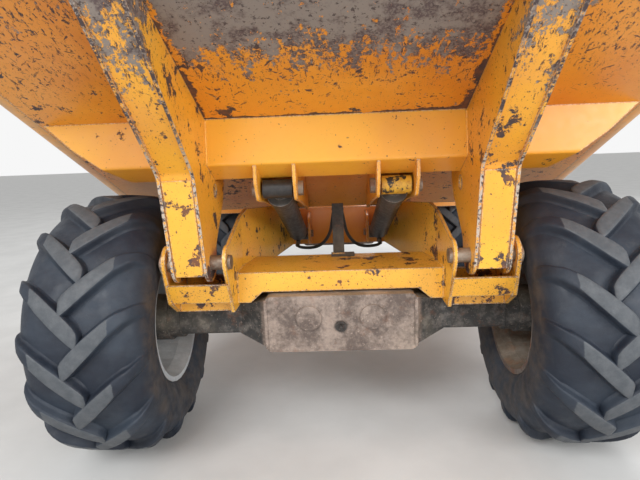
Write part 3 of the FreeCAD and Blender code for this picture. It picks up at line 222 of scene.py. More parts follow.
# Linear colours
ORANGE = (0.76, 0.275, 0.022)
ORANGE_DEEP = (0.64, 0.2, 0.012)
ORANGE_PALE = (0.8, 0.345, 0.055)
ORANGE_FRESH = (0.82, 0.345, 0.028)
CHIP = (0.055, 0.036, 0.036)
RUST = (0.16, 0.062, 0.028)
BARE = (0.175, 0.145, 0.12)
GREY_FILM = (0.236, 0.198, 0.171)
GREY_PALE = (0.24, 0.205, 0.175)
PURPLE = (0.095, 0.064, 0.062)
EDGE_PALE = (0.52, 0.44, 0.36)
EDGE_WHITE = (0.46, 0.385, 0.31)
FILM = (0.44, 0.25, 0.095)
FILM_DARK = (0.2, 0.095, 0.04)
SOIL = (0.34, 0.27, 0.19)
DUST = (0.44, 0.37, 0.26)
GOLD = (0.83, 0.445, 0.042)
GOLD_DEEP = (0.76, 0.36, 0.025)
OIL = (0.012, 0.01, 0.009)

# Directions of the scratches: turn in degrees, and scale along the turned axes
SCRATCHES = [((0, 0, 28), (3, 70, 70)), ((0, 0, -38), (2.6, 60, 60)), ((0, 0, 74), (3.2, 80, 80)),
             ((0, 0, -64), (4.5, 95, 95))]


def sound_paint(m, base, deep, dust, up, fine):
    """Paint that has stayed, mottled, with dust in soft patches and on faces that look up."""
    color = m.mix(m.spots(0.35, 0.7, 1.6, 3), base, deep)
    color = m.mix(m.times(m.spots(0.45, 0.75, 5.5, 4), 0.5), color, ORANGE_PALE)
    color = m.mix(m.times(m.step(fine, 0.45, 0.8), 0.22), color, deep)
    dusty = m.plus(m.spots(0.42, 0.78, 3.2, 6, 0.65), m.times(m.step(up, 0.3, 0.95), 0.55))
    dusty = m.times(dusty, dust, clamp=True)
    return m.mix(dusty, color, DUST), dusty


def filmed(m, color, amount):
    """Tan film with dark runs of dirt in it."""
    streaks = m.spots(0.25, 0.75, 9, 5, 0.6, m.stretched((1.0, 1.0, 3.0)))
    color = m.mix(m.times(streaks, amount), color, FILM)
    runs = m.spots(0.56, 0.68, 7, 7, 0.7, m.stretched((2.6, 0.6, 0.6)))
    return m.mix(m.times(runs, amount * 0.8), color, FILM_DARK)


def chipped(m, chips, grain, rim, z, low_wear, dark_edge):
    """Ragged islands in clusters, and specks of two sizes."""
    cluster = m.spots(0.42, 0.66, 2.2, 2)
    ragged = m.plus(m.noise(11, 8, 0.7), m.times(grain, 0.14))
    ragged = m.plus(ragged, m.times(cluster, 0.07))
    if low_wear:
        ragged = m.plus(ragged, m.times(m.step(z, low_wear + 0.05, low_wear - 0.02), 0.12))
    if dark_edge:
        ragged = m.plus(ragged, m.times(m.math("MINIMUM", rim, 0.25), dark_edge))
    island = 0.835 - 0.1 * chips
    speck = 0.775 - 0.06 * chips
    worn = m.step(ragged, island, island + 0.01)
    specks = m.plus(m.noise(85, 3, 0.6), m.times(cluster, 0.05))
    worn = m.larger(worn, m.step(specks, speck, speck + 0.01))
    return m.larger(worn, m.spots(speck, speck + 0.015, 210, 2, 0.5))


def scratched(m, worn, amount):
    """Long scratches, a few in each direction."""
    where = m.spots(0.46, 0.56, 2.4, 3)
    limit = 0.8 - 0.075 * amount
    for turn, scale in SCRATCHES:
        line = m.spots(limit, limit + 0.01, 1.0, 2, 0.5, m.stretched(scale, turn))
        worn = m.larger(worn, m.times(line, where))
    return worn


def bare_band(m, worn, dark, across, y, band):
    """Grey bare metal that frays towards the paint, and thin marks that run on into it."""
    start, end, half = band
    drips = m.noise(12, 8, 0.68, m.stretched((2.0, 0.8, 0.8)))
    level = m.plus(m.times(m.between(y, start, end, 0.0, 1.0), 0.4), m.times(drips, 0.95))
    level = m.plus(level, m.times(m.noise(52, 7, 0.74), 0.95))
    if half:
        level = m.minus(level, m.times(m.step(across, half - 0.03, half + 0.05), 0.33))
    grey = m.step(level, 1.14, 1.16)
    near = m.between(y, start + 0.15, start - 0.1, 0.0, 1.0)
    marks = m.plus(m.noise(34, 8, 0.78, m.stretched((2.4, 0.8, 0.8))), m.times(near, 0.085))
    worn = m.larger(m.larger(worn, grey), m.step(marks, 0.648, 0.662))
    bare = m.mix(m.spots(0.44, 0.56, 6, 7, 0.72), PURPLE, GREY_FILM)
    bare = m.mix(m.times(m.spots(0.47, 0.6, 130, 3), 0.55), bare, GREY_PALE)
    bare = m.mix(m.times(m.spots(0.56, 0.62, 64, 5, 0.7), 0.9), bare, CHIP)
    return worn, m.mix(grey, dark, bare)


def torn_seams(m, seams, across, y, grain):
    """Ragged border beside welds at half a width, and ahead of a weld at y."""
    half, line_y = seams
    torn = m.plus(m.noise(7, 7, 0.72), m.times(grain, 0.16))
    inward = m.minus(half, across)
    forward = m.minus(line_y, y)
    beside = m.minus(inward, m.times(m.minus(torn, 0.52), 0.2))
    ahead = m.minus(forward, m.times(m.minus(torn, 0.49), 0.085))
    border = m.larger(m.step(beside, 0.004, 0.001), m.step(ahead, 0.004, 0.001))
    return m.times(border, m.times(m.step(inward, -0.012, -0.004), m.step(forward, -0.012, -0.004)))


def rubbed_strips(m, ranges, across, face_y, z):
    """Front edges that have lost their paint, in two ranges of distance from the middle."""
    strip = m.larger(*[m.times(m.step(across, low - 0.001, low), m.step(across, high + 0.001, high))
                       for low, high in ranges])
    lost = m.plus(m.noise(24, 7, 0.72), m.times(m.noise(110, 3, 0.6), 0.35))
    strip = m.times(m.times(strip, m.step(face_y, -0.3, -0.45)), m.step(lost, 0.65, 0.69))
    low = m.mix(m.spots(0.5, 0.56, 75, 4, 0.65), EDGE_WHITE, CHIP)
    high = m.mix(m.spots(0.55, 0.62, 75, 4, 0.65), CHIP, GREY_FILM)
    return strip, m.mix(m.step(z, 1.3, 1.45), low, high)


def load_space(m, z):
    """Colour of the skip's inside: scraped steel with dried soil over the last of the paint."""
    color = m.mix(m.spots(0.4, 0.62, 4, 6, 0.65), BARE, RUST)
    color = m.mix(m.times(m.spots(0.5, 0.62, 60, 4, 0.7), 0.5), color, GREY_PALE)
    scraped = m.spots(0.53, 0.58, 9, 8, 0.72, m.stretched((1.6, 1.0, 0.45)))
    color = m.mix(scraped, color, ORANGE_DEEP)
    soil = m.plus(m.noise(2.1, 7, 0.72), m.times(m.noise(30, 4), 0.16))
    soil = m.minus(soil, m.between(z, 1.2, 2.1, 0.0, 0.16))
    color = m.mix(m.step(soil, 0.5, 0.6), color, SOIL)
    rim = m.plus(z, m.times(m.noise(6, 6, 0.7), 0.36))
    return m.mix(m.step(rim, 2.12, 2.18), color, ORANGE)


def paint(name, base=ORANGE, deep=ORANGE_DEEP, chips=0.5, edge=0.5, dust=0.25, scratches=0.4, film=0.0,
          low_wear=None, dark_edge=0.0, worn_band=None, seams=None, bare_strips=None, hollow=None):
    """Worn gloss paint.

    edge, dark_edge: how far the edges are rubbed pale, and how far the chips run in from them
    low_wear: height below which the chips grow
    worn_band: (start, end, half width) where the paint wears off between start and end along Y
    seams: (half width, y) of the welded borders that have lost their paint
    bare_strips: ranges of distance from the middle whose front edges have lost their paint
    hollow: centre of an open box, whose inside is scraped and soiled
    """
    m = Sheet(name)
    x, y, z = m.parts()
    across = m.math("ABSOLUTE", x)
    normal = m.parts(m.facing)
    fine = m.noise(38, 5, 0.6)
    grain = m.noise(70, 4, 0.7)
    rim = m.edges(0.012)
    color, dusty = sound_paint(m, base, deep, dust, normal[2], fine)
    if film:
        color = filmed(m, color, film)
    worn = scratched(m, chipped(m, chips, grain, rim, z, low_wear, dark_edge), scratches)
    dark = m.mix(m.spots(0.4, 0.7, 26, 4), CHIP, RUST)
    if worn_band:
        worn, dark = bare_band(m, worn, dark, across, y, worn_band)
    if seams:
        worn = m.larger(worn, torn_seams(m, seams, across, y, grain))
    color = m.mix(worn, color, dark)
    broken = m.plus(m.times(rim, 3.2), m.noise(95, 4, 0.7))
    rubbed = m.times(m.step(broken, 1.12 - 0.35 * edge, 1.22 - 0.35 * edge), m.step(rim, 0.03, 0.08))
    color = m.mix(rubbed, color, m.mix(m.spots(0.42, 0.6, 140, 3, 0.6), RUST, EDGE_PALE))
    worn = m.larger(worn, rubbed)
    if bare_strips:
        strip, bare = rubbed_strips(m, bare_strips, across, normal[1], z)
        color = m.mix(strip, color, bare)
        worn = m.larger(worn, strip)
    if hollow:
        toward = m.vectors("SUBTRACT", hollow, m.place, 0)
        inside = m.step(m.vectors("DOT_PRODUCT", toward, m.facing), 0.0, 0.05)
        color = m.mix(inside, color, load_space(m, z))
        worn = m.larger(worn, m.times(inside, m.spots(0.4, 0.6, 9, 6, 0.7)))
    rough = m.plus(m.between(fine, 0.3, 0.7, 0.3, 0.42), m.times(worn, 0.36))
    rough = m.plus(rough, m.times(dusty, 0.3), clamp=True)
    bumps = m.relief(m.minus(1.0, worn), 0.5, 0.0012)
    bumps = m.relief(m.noise(11, 3), 0.12, 0.003, bumps)
    bumps = m.relief(m.noise(220, 3), 0.08, 0.0006, bumps)
    return m.finish(color, rough, bumps, Coat_Weight=0.12, Coat_Roughness=0.25)


def steel(name, base, second, rust=0.3, rough=(0.35, 0.6), metal=0.0, grain=60, pits=0.4, pale_edges=0.0,
          dark_beyond=None, oil=None):
    """Dirty steel or cast iron with rust bloom, pits and dust on faces that look up.

    dark_beyond: distance from the middle plane beyond which it is darker
    oil: (middle, reach) of a wet stain
    """
    m = Sheet(name)
    mottle = m.plus(m.noise(6, 6, 0.65), m.times(m.noise(50, 5, 0.7), 0.5))
    color = m.mix(m.step(mottle, 0.6, 0.92), base, second)
    if dark_beyond:
        away = m.step(m.math("ABSOLUTE", m.parts()[0]), dark_beyond, dark_beyond + 0.02)
        tube = m.mix(m.spots(0.45, 0.68, 22, 7, 0.7), (0.03, 0.029, 0.028), (0.115, 0.103, 0.092))
        color = m.mix(away, color, tube)
    bloom = m.spots(0.6 - 0.2 * rust, 0.72 - 0.1 * rust, 14, 7, 0.7)
    color = m.mix(m.times(bloom, min(1.0, rust * 1.6)), color, RUST)
    dusty = m.plus(m.step(m.parts(m.facing)[2], 0.2, 0.9), m.spots(0.5, 0.8, 4, 5))
    color = m.mix(m.times(dusty, 0.22, clamp=True), color, DUST)
    pale = [min(1, c * 2.3 + 0.03) for c in second]
    color = m.mix(m.times(m.spots(0.58, 0.72, grain * 2.2, 4, 0.7), 0.35), color, pale)
    if pale_edges:
        limit = 1.2 - 0.35 * pale_edges
        rubbed = m.step(m.plus(m.times(m.edges(0.006), 3.0), m.noise(80, 4)), limit, limit + 0.15)
        color = m.mix(m.times(rubbed, 0.7), color, EDGE_PALE)
    gloss = m.between(m.noise(grain, 4), 0.3, 0.7, *rough)
    if oil:
        middle, reach = oil
        away = m.plus(m.vectors("DISTANCE", m.place, middle), m.times(m.noise(26, 6, 0.72), reach))
        wet = m.step(away, reach * 1.75, reach * 1.25)
        color = m.mix(m.times(wet, 0.93), color, OIL)
        gloss = m.minus(gloss, m.times(wet, 0.35))
    bumps = m.relief(m.noise(grain, 6, 0.65), pits, 0.0025)
    return m.finish(color, gloss, m.relief(m.noise(grain * 4, 3), pits * 0.5, 0.0008, bumps), metal)


def ram_rod(name, eye, base, second, chips):
    """Chrome rod whose eye is painted: eye is the eye's axis in the side view."""
    m = Sheet(name)
    x, y, z = m.parts()
    off_y, off_z = m.minus(y, eye[0]), m.minus(z, eye[1])
    away = m.math("SQRT", m.plus(m.times(off_y, off_y), m.times(off_z, off_z)))
    on_eye = m.step(away, 0.05, 0.046)
    lost = m.step(m.plus(m.noise(26, 6, 0.72), m.times(m.edges(0.008), 0.35)), chips, chips + 0.02)
    painted = m.mix(lost, m.mix(m.spots(0.4, 0.65, 40, 5, 0.7), base, second), (0.016, 0.014, 0.013))
    chrome = m.mix(m.noise(8, 3), (0.6, 0.6, 0.61), (0.48, 0.47, 0.46))
    gloss = m.between(on_eye, 0.0, 1.0, 0.16, 0.45)
    bumps = m.relief(m.noise(90, 5), 0.2, 0.0008)
    return m.finish(m.mix(on_eye, chrome, painted), gloss, bumps, m.minus(1.0, on_eye))


def rubber(name):
    """Tread rubber: pale dusty tops on the bars, black flanks, dried mud streaks; the blue cast of its blacks
    is a painted sky sheen.
    """
    m = Sheet(name)
    streak = m.spots(0.35, 0.7, 5, 6, 0.65, m.stretched((0.5, 1, 1)))
    # black rubber with dusty streaks; the blue in these blacks is painted sheen
    color = m.mix(streak, (0.009, 0.013, 0.023), (0.026, 0.036, 0.052))
    color = m.mix(m.times(m.spots(0.55, 0.8, 9, 7, 0.72), 0.5), color, (0.08, 0.085, 0.09))
    x, y, z = m.parts()
    radius = m.math("SQRT", m.plus(m.math("POWER", y, 2.0), m.math("POWER", z, 2.0)))
    wall = m.times(m.step(radius, 0.5, 0.44), m.spots(0.35, 0.65, 16, 6, 0.7))
    color = m.mix(m.times(wall, 0.6), color, (0.085, 0.066, 0.052))
    tops = m.node("ShaderNodeAttribute", attribute_name="tread_top").outputs["Fac"]
    tops = m.step(m.plus(tops, m.times(m.minus(m.noise(45, 4), 0.5), 0.5)), 0.45, 0.6)
    # the tops' grey carries the same blue cast of painted sheen
    top = m.mix(m.spots(0.3, 0.75, 30, 5, 0.7), (0.056, 0.064, 0.074), (0.088, 0.096, 0.106))
    gloss = m.between(m.noise(20, 5), 0.3, 0.7, 0.46, 0.72)
    bumps = m.relief(m.noise(240, 3), 0.25, 0.0006, m.relief(m.noise(26, 7, 0.7), 0.35, 0.004))
    return m.finish(m.mix(tops, color, top), gloss, bumps, Specular_IOR_Level=0.4)


def plain(name, base, second, rough=(0.4, 0.6), grain=120, strength=0.15, **fixed):
    """Plastic, rubber, glass or chrome with little of its own to show."""
    m = Sheet(name)
    color = m.mix(m.spots(0.35, 0.7, 12, 5), base, second)
    gloss = m.between(m.noise(30, 4), 0.3, 0.7, *rough)
    return m.finish(color, gloss, m.relief(m.noise(grain, 4), strength, 0.0006), **fixed)


def fabric(name, base, second):
    """Coated seat cloth with a fine grain and rubbed creases."""
    m = Sheet(name)
    color = m.mix(m.spots(0.4, 0.7, 9, 5), base, second)
    grain = m.node("ShaderNodeTexVoronoi", {"Vector": m.place, "Scale": 420}).outputs["Distance"]
    color = m.mix(m.times(m.step(grain, 0.2, 0.6), 0.25), color, [c * 1.9 for c in second])
    bumps = m.relief(m.noise(14, 4), 0.2, 0.003, m.relief(grain, 0.35, 0.0006))
    return m.finish(color, m.between(m.noise(25, 4), 0.3, 0.7, 0.45, 0.62), bumps, Sheen_Weight=0.1)


SKIP_CENTRE = (0, front(-0.35), 1.95)
RIB_STRIPS = ((0.5245, 0.5375), (0.6575, 0.6705))

SKIP_UNDER = paint("skip_underside", (0.745, 0.29, 0.023), chips=1.15, edge=0.4, dust=0.05, scratches=1.45,
                   worn_band=(front(-0.37), front(-0.69), 0.5), seams=(0.525, front(-0.198)),
                   hollow=SKIP_CENTRE)
SKIP_PAINT = paint("skip_paint", chips=0.6, edge=0.8, dust=0.12, scratches=0.5)
SKIP_BEAM = paint("skip_beam_paint", (0.87, 0.42, 0.036), (0.8, 0.33, 0.022), chips=0.75, edge=0.3,
                  dust=0.06, scratches=0.6)
RIB_PAINT = paint("rib_paint", (0.84, 0.41, 0.034), (0.76, 0.31, 0.02), chips=1.25, edge=0.7, dust=0.1,
                  scratches=0.3, worn_band=(front(-0.6), front(-1.0), None), low_wear=0.89,
                  bare_strips=RIB_STRIPS)
RIB_COVER = paint("rib_cover_paint", GOLD, GOLD_DEEP, chips=1.45, edge=0.8, dust=0.05, scratches=0.5,
                  low_wear=0.93, dark_edge=0.6)
SIDE_PAINT = paint("skip_side_paint", ORANGE_FRESH, chips=0.75, edge=0.5, dust=0.15, scratches=0.75,
                   film=0.6, hollow=SKIP_CENTRE)
FRAME_PAINT = paint("frame_paint", GOLD, GOLD_DEEP, chips=1.45, edge=0.9, dust=0.08, scratches=0.8,
                    dark_edge=0.9)
BRACKET_PAINT = paint("bracket_paint", (0.8, 0.4, 0.036), GOLD_DEEP, chips=1.9, edge=1.1, dust=0.08,
                      scratches=0.8, dark_edge=1.3)
REAR_WALL_PAINT = paint("skip_rear_wall_paint", (0.8, 0.33, 0.022), chips=0.45, edge=0.5, dust=0.08,
                        scratches=0.5, film=0.15, hollow=SKIP_CENTRE)
NECK_PAINT = paint("neck_paint", (0.68, 0.25, 0.01), chips=0.45, edge=0.5, dust=0.06, scratches=0.1,
                   dark_edge=0.3)
BODY_PAINT = paint("body_paint", ORANGE_FRESH, chips=0.65, edge=0.6, dust=0.24, scratches=0.4)
CAST = steel("cast_housing", (0.1, 0.074, 0.062), (0.3, 0.235, 0.195), rust=0.25, rough=(0.6, 0.85),
             grain=45, pits=0.6, dark_beyond=0.345, oil=((0, front(-0.186), 0.574), 0.034))
PIN = steel("pin_steel", (0.17, 0.13, 0.1), (0.32, 0.27, 0.22), rust=0.5, rough=(0.4, 0.65), metal=0.6,
            grain=70)
RAM = steel("ram_paint", (0.026, 0.024, 0.023), (0.07, 0.062, 0.054), rust=0.15, pits=0.2, pale_edges=0.35)
POST = steel("hose_post_steel", (0.016, 0.013, 0.011), (0.05, 0.036, 0.026), rust=0.4, rough=(0.6, 0.8))
CHASSIS = steel("dark_chassis_paint", (0.022, 0.023, 0.025), (0.05, 0.048, 0.046), rust=0.12,
                rough=(0.45, 0.65), grain=80, pits=0.15, pale_edges=0.3)
ENGINE = steel("engine_iron", (0.05, 0.052, 0.055), (0.09, 0.088, 0.085), rust=0.15, rough=(0.5, 0.75),
               grain=70)
RIM_SILVER = steel("rim_silver", (0.42, 0.45, 0.48), (0.56, 0.58, 0.6), rust=0.12, rough=(0.35, 0.55),
                   metal=0.25, grain=90, pits=0.1, pale_edges=0.2)
# Darker, browner copy of the silver rim steel for the front left rim: painted shade, with more rust bloom
# than the others.
RIM_SHADE_AND_RUST = steel("rim_painted_shade_and_rust", (0.075, 0.055, 0.045), (0.2, 0.17, 0.15), rust=0.6, rough=(0.5, 0.75),
                  grain=90, pits=0.2)
CHROME = plain("chrome_rod", (0.62, 0.62, 0.62), (0.5, 0.5, 0.51), (0.08, 0.2), strength=0.02, Metallic=1.0)
PLASTIC = plain("black_plastic", (0.018, 0.018, 0.019), (0.03, 0.03, 0.03), (0.4, 0.55))
HOSE = plain("hose_rubber", (0.014, 0.014, 0.015), (0.035, 0.034, 0.032), grain=300)
SEAM = plain("seat_seam", (0.01, 0.01, 0.011), (0.02, 0.02, 0.02), (0.6, 0.7))
RED = plain("red_lens", (0.42, 0.012, 0.01), (0.36, 0.01, 0.01), (0.12, 0.2), strength=0.05,
            Coat_Weight=0.6)
AMBER = plain("amber_lens", (0.85, 0.26, 0.015), (0.75, 0.2, 0.012), (0.12, 0.2), strength=0.05,
              Coat_Weight=0.6)
GLASS = plain("gauge_face", (0.75, 0.75, 0.72), (0.65, 0.65, 0.63), (0.1, 0.15), strength=0.0,
              Coat_Weight=0.8)
VINYL = fabric("seat_vinyl", (0.016, 0.016, 0.018), (0.032, 0.032, 0.034))
EYE = (front(-0.11), 1.181)
ROD_YELLOW = ram_rod("ram_rod_worn_yellow", EYE, (0.6, 0.33, 0.025), (0.42, 0.21, 0.02), 0.53)
ROD_BLACK = ram_rod("ram_rod_black", EYE, (0.018, 0.017, 0.017), (0.035, 0.032, 0.03), 0.7)
TYRE = rubber("tyre_rubber")

# Each finish and the nodes that have it
FINISHES = [
    (CAST, "front_axle rear_axle"),
    (FRAME_PAINT, "front_side_plates front_crossmember steering_bracket"),
    (BRACKET_PAINT, "skip_brackets"),
    (NECK_PAINT, "front_neck"),
    (SKIP_UNDER, "skip_bottom"),
    (REAR_WALL_PAINT, "skip_rear_wall"),
    (SIDE_PAINT, "skip_side_left skip_side_right"),
    (SKIP_PAINT, "skip_rim"),
    (RIB_PAINT, "skip_ribs"),
    (SKIP_BEAM, "skip_cross_beam ram_webs"),
    (BODY_PAINT, "console seat_platform mudguards engine_panels rear_panel tank_left tank_right bonnet"),
    (PIN, "front_pins skip_lip ram_pin_ends"),
    (POST, "hose_post"),
    (RAM, "ram_barrel_left ram_barrel_right steering_barrel"),
    (ROD_YELLOW, "ram_rod_left"),
    (ROD_BLACK, "ram_rod_right"),
    (CHROME, "steering_rod"),
    (CHASSIS, "front_shaft pivot_block rear_frame rear_shaft counterweight tow_jaw deck roll_over_frame"),
    (CHASSIS, "handrails exhaust"),
    (ENGINE, "engine gearbox"),
    (PLASTIC, "steering_wheel rear_lamps"),
    (VINYL, "seat"),
    (AMBER, "beacon"),
    (HOSE, "hose_left hose_right"),
    (TYRE, "tyre_front_left tyre_front_right tyre_rear_left tyre_rear_right"),
    (RIM_SILVER, "rim_front_right rim_rear_left rim_rear_right"),
    # the front left rim takes the darker copy of the rim steel: painted shade with rust
    (RIM_SHADE_AND_RUST, "rim_front_left"),
]
for finish, nodes in FINISHES:
    for node in nodes.split():
        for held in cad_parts[node].material_slots:
            held.material = finish
for hose in hoses:
    hose.data.materials.append(HOSE)


# Mesh helpers

BLOCK_FACES = [(0, 1, 3, 2), (4, 6, 7, 5), (0, 4, 5, 1), (2, 3, 7, 6), (0, 2, 6, 4), (1, 5, 7, 3)]
ROUND_ABOVE = math.radians(35)


class Stock:
    """Collects many small forms into one mesh."""

    def __init__(self):
        self.verts, self.faces = [], []

    def add(self, verts, faces):
        first = len(self.verts)
        self.verts += [Vector(v) for v in verts]
        self.faces += [tuple(first + i for i in f) for f in faces]

    def rings(self, rings, closed_ends=True):
        """Skin between rings of equal length, each a closed loop."""
        count = len(rings[0])
        last = (len(rings) - 1) * count
        faces = []
        for i in range(0, last, count):
            for k in range(count):
                j = (k + 1) % count
                faces.append((i + k, i + j, i + count + j, i + count + k))
        if closed_ends:
            faces.append(tuple(reversed(range(count))))
            faces.append(tuple(range(last, last + count)))
        self.add([v for ring in rings for v in ring], faces)

    def turned(self, centre, axis, profile, sides=24, start=0.0):
        """A closed turned form: profile of (distance along axis, radius)."""
        centre, axis = Vector(centre), Vector(axis).normalized()
        u = axis.orthogonal().normalized()
        w = axis.cross(u)
        self.rings([[centre + axis * along + (u * math.cos(a) + w * math.sin(a)) * radius
                     for a in spread(sides, start)] for along, radius in profile])

    def block(self, low, high):
        xs, ys, zs = zip(low, high)
        self.add([(x, y, z) for x in xs for y in ys for z in zs], BLOCK_FACES)

    def bolt(self, at, axis, size=0.012, washer=True):
        """Washer and a hexagon head with chamfered corners, turned by an amount that its place gives."""
        if washer:
            self.turned(at, axis, [(-0.001, size * 1.25), (0.0022, size * 1.25), (0.003, size * 1.15)], 20)
        x, y, z = Vector(at)
        turn = (x * 37 + y * 91 + z * 53) % 1.0
        head = [(0.002, size), (0.002 + size * 0.62, size), (0.002 + size * 0.74, size * 0.86)]
        self.turned(at, axis, head, 6, turn)

    def bar(self, a, b, side, half_width, thick):
        """Flat bar from a to b; side points along its width."""
        a, b, side = Vector(a), Vector(b), Vector(side)
        way = (b - a).normalized()
        across = (side - way * way.dot(side)).normalized()
        up = way.cross(across) * thick / 2
        out = across * half_width
        self.rings([[end + v for v in (out + up, up - out, -out - up, out - up)] for end in (a, b)])

    def ball(self, centre, radius, sides=18):
        arc = [math.pi * k / 10 for k in range(1, 10)]
        self.turned(centre, UP, [(-radius * math.cos(t), radius * math.sin(t)) for t in arc], sides)

    def tube(self, points, radius, sides=10, wobble=0.0, seed=1):
        """Round bar along a list of points; wobble gives a weld bead's ripples."""
        points = [Vector(p) for p in points]
        rings = []
        reference = None
        pick = random.Random(seed)
        for i, here in enumerate(points):
            before = points[max(i - 1, 0)]
            after = points[min(i + 1, len(points) - 1)]
            way = (after - before).normalized()
            if reference is None:
                reference = way.orthogonal().normalized()
            reference = (reference - way * reference.dot(way)).normalized()
            other = way.cross(reference)
            r = radius * (1 + wobble * (0.5 * math.sin(i * 2.1) + pick.uniform(-0.5, 0.5)))
            rings.append([here + (reference * math.cos(a) + other * math.sin(a)) * r for a in spread(sides)])
        self.rings(rings)

    def bead(self, a, b, radius=0.005, seed=1):
        """Weld bead from a to b with a ripple about every 6 mm."""
        a, b = Vector(a), Vector(b)
        steps = max(2, int((b - a).length / 0.006))
        self.tube([a.lerp(b, i / steps) for i in range(steps + 1)], radius, 6, 0.35, seed)

    def made(self, name, material, slot_name, body="rear_chassis", smooth=True, bevel=0.0):
        """Links what was collected as one piece on a body, with sharp edges rounded by bevel."""
        mesh = bpy.data.meshes.new(name)
        mesh.from_pydata([tuple(v) for v in self.verts], [], self.faces)
        mesh.validate()
        mesh.update()
        if smooth:
            mesh.shade_smooth()
        else:
            mesh.shade_flat()
        mesh.materials.append(material)
        piece = linked(name, mesh)
        if bevel:
            rounding = piece.modifiers.new("rounding", "BEVEL")
            rounding.width = bevel
            rounding.segments = 2
            rounding.limit_method = "ANGLE"
            rounding.angle_limit = ROUND_ABOVE
        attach(piece, body)
        return piece


# Tyres

BARS = 15
PITCH = TURN / BARS
# angle of the first bar's middle, in pitches
BAR_MIDDLE = 0.31
# radius at which a bar's width and slant are measured
BAR_R = 0.575
# how much a bar trails on each side of the shoulder, in pitches a metre
SHOULDER_X = 0.15
LAG_INSIDE, LAG_OUTSIDE = 3.8, 3.1
# cosine of a bar's slant on each side of SLANT_X
SLANT_X = 0.18
SLANT_INSIDE, SLANT_OUTSIDE = math.cos(math.atan(LAG_INSIDE * PITCH * BAR_R)), 0.86
CARCASS_SIDES = 150

# A bar from its inner end, across the tyre's middle, over the shoulder and down the wall.
# columns: distance from the middle, radius on the bar, radius between bars, half the bar's width, dust on top
BAR_STATIONS = [
    (-0.043, 0.556, 0.5465, 0.012, 0), (-0.04, 0.574, 0.5466, 0.02, 0), (-0.034, 0.5822, 0.5467, 0.0262, 1),
    (-0.024, 0.5841, 0.5468, 0.0305, 1), (0, 0.5845, 0.547, 0.0325, 1), (0.03, 0.5844, 0.5468, 0.0325, 1),
    (0.06, 0.5838, 0.5464, 0.0318, 1), (0.09, 0.5828, 0.5456, 0.0303, 1), (0.115, 0.5815, 0.5445, 0.0285, 1),
    (0.135, 0.5795, 0.5425, 0.0265, 1), (0.155, 0.5755, 0.5385, 0.0245, 0.4),
    (0.175, 0.5685, 0.5315, 0.0232, 0), (0.195, 0.557, 0.5205, 0.0225, 0), (0.212, 0.542, 0.507, 0.022, 0),
    (0.226, 0.523, 0.4905, 0.0218, 0), (0.2365, 0.5, 0.473, 0.0215, 0), (0.243, 0.476, 0.458, 0.0205, 0),
    (0.246, 0.456, 0.446, 0.0185, 0), (0.247, 0.44, 0.436, 0.014, 0),
]
# the wall below the bars: distance from the middle, radius
WALL = [
    (0.2482, 0.43), (0.2488, 0.412), (0.2484, 0.396), (0.2462, 0.38), (0.2455, 0.376), (0.2425, 0.36),
    (0.238, 0.342), (0.2365, 0.338), (0.23, 0.322), (0.2285, 0.315), (0.218, 0.304), (0.202, 0.2882),
]
# a bar's section: share of its half width, extra half width, share of its height, whether dust lies there
BAR_SECTION = [
    (1, 0.017, -0.05, 0), (1, 0.0085, 0.07, 0), (1, 0.0045, 0.3, 0), (1, 0.002, 0.68, 0),
    (1, -0.001, 0.9, 0), (1, -0.0045, 0.985, 1), (0.55, 0, 1, 1), (0, 0, 1, 1),
]


def bar_lag(x):
    """How far a bar trails at distance x from the middle, in pitches."""
    straight = min(x, SHOULDER_X)
    return LAG_INSIDE * straight + LAG_OUTSIDE * max(0.0, x - straight)


def on_wheel(x, r, angle):
    return Vector((x, r * math.sin(angle), r * math.cos(angle)))


def moulded_bar(stock, dust_of, across, side, base, wear):
    """One bar on a side, at angle base, worn by a list of heights."""
    verts = []
    for (x, top, low, width, dust), worn in zip(BAR_STATIONS, wear):
        height = top - low + (worn if dust else 0)
        slant = SLANT_INSIDE if x < SLANT_X else SLANT_OUTSIDE
        for w, extra, h, d in across:
            angle = base + bar_lag(x) * PITCH + (w * width + extra) / slant / BAR_R
            verts.append(on_wheel(side * x, low + height * h, angle))
            dust_of.append(dust * d)
    count = len(across)
    faces = [(a, a + 1, a + count + 1, a + count) for i in range(len(BAR_STATIONS) - 1)
             for a in range(i * count, (i + 1) * count - 1)]
    faces.append(tuple(range(count)))
    faces.append(tuple(range(len(verts) - count, len(verts))))
    stock.add(verts, faces)


def tyre_mesh(crease=math.radians(50)):
    """Carcass of revolution with 30 moulded bars, as one mesh about the origin."""
    stock = Stock()
    half = [(x, low) for x, top, low, width, dust in BAR_STATIONS if x >= 0] + WALL
    section = [(-x, r) for x, r in reversed(half)] + half[1:]
    stock.rings([[on_wheel(x, r, a) for a in spread(CARCASS_SIDES)] for x, r in section], False)
    dust_of = [0.0] * len(stock.verts)
    across = [(-w, -extra, h, d) for w, extra, h, d in BAR_SECTION] + BAR_SECTION[-2::-1]
    pick = random.Random(7)
    for side, shift in ((1, 0.0), (-1, 0.5)):
        for n in range(BARS):
            wear = [pick.uniform(-0.001, 0.0006) for _ in BAR_STATIONS]
            moulded_bar(stock, dust_of, across, side, (n + BAR_MIDDLE + shift) * PITCH, wear)
    mesh = bpy.data.meshes.new("tyre_mesh")
    mesh.from_pydata([tuple(v) for v in stock.verts], [], stock.faces)
    mesh.update()
    mesh.attributes.new("tread_top", "FLOAT", "POINT").data.foreach_set("value", dust_of)
    mesh.shade_smooth()
    mesh.materials.append(TYRE)
    work = bmesh.new()
    work.from_mesh(mesh)
    bmesh.ops.recalc_face_normals(work, faces=work.faces)
    for edge in work.edges:
        if len(edge.link_faces) == 2 and edge.calc_face_angle(0) > crease:
            edge.smooth = False
    work.to_mesh(mesh)
    work.free()
    return mesh


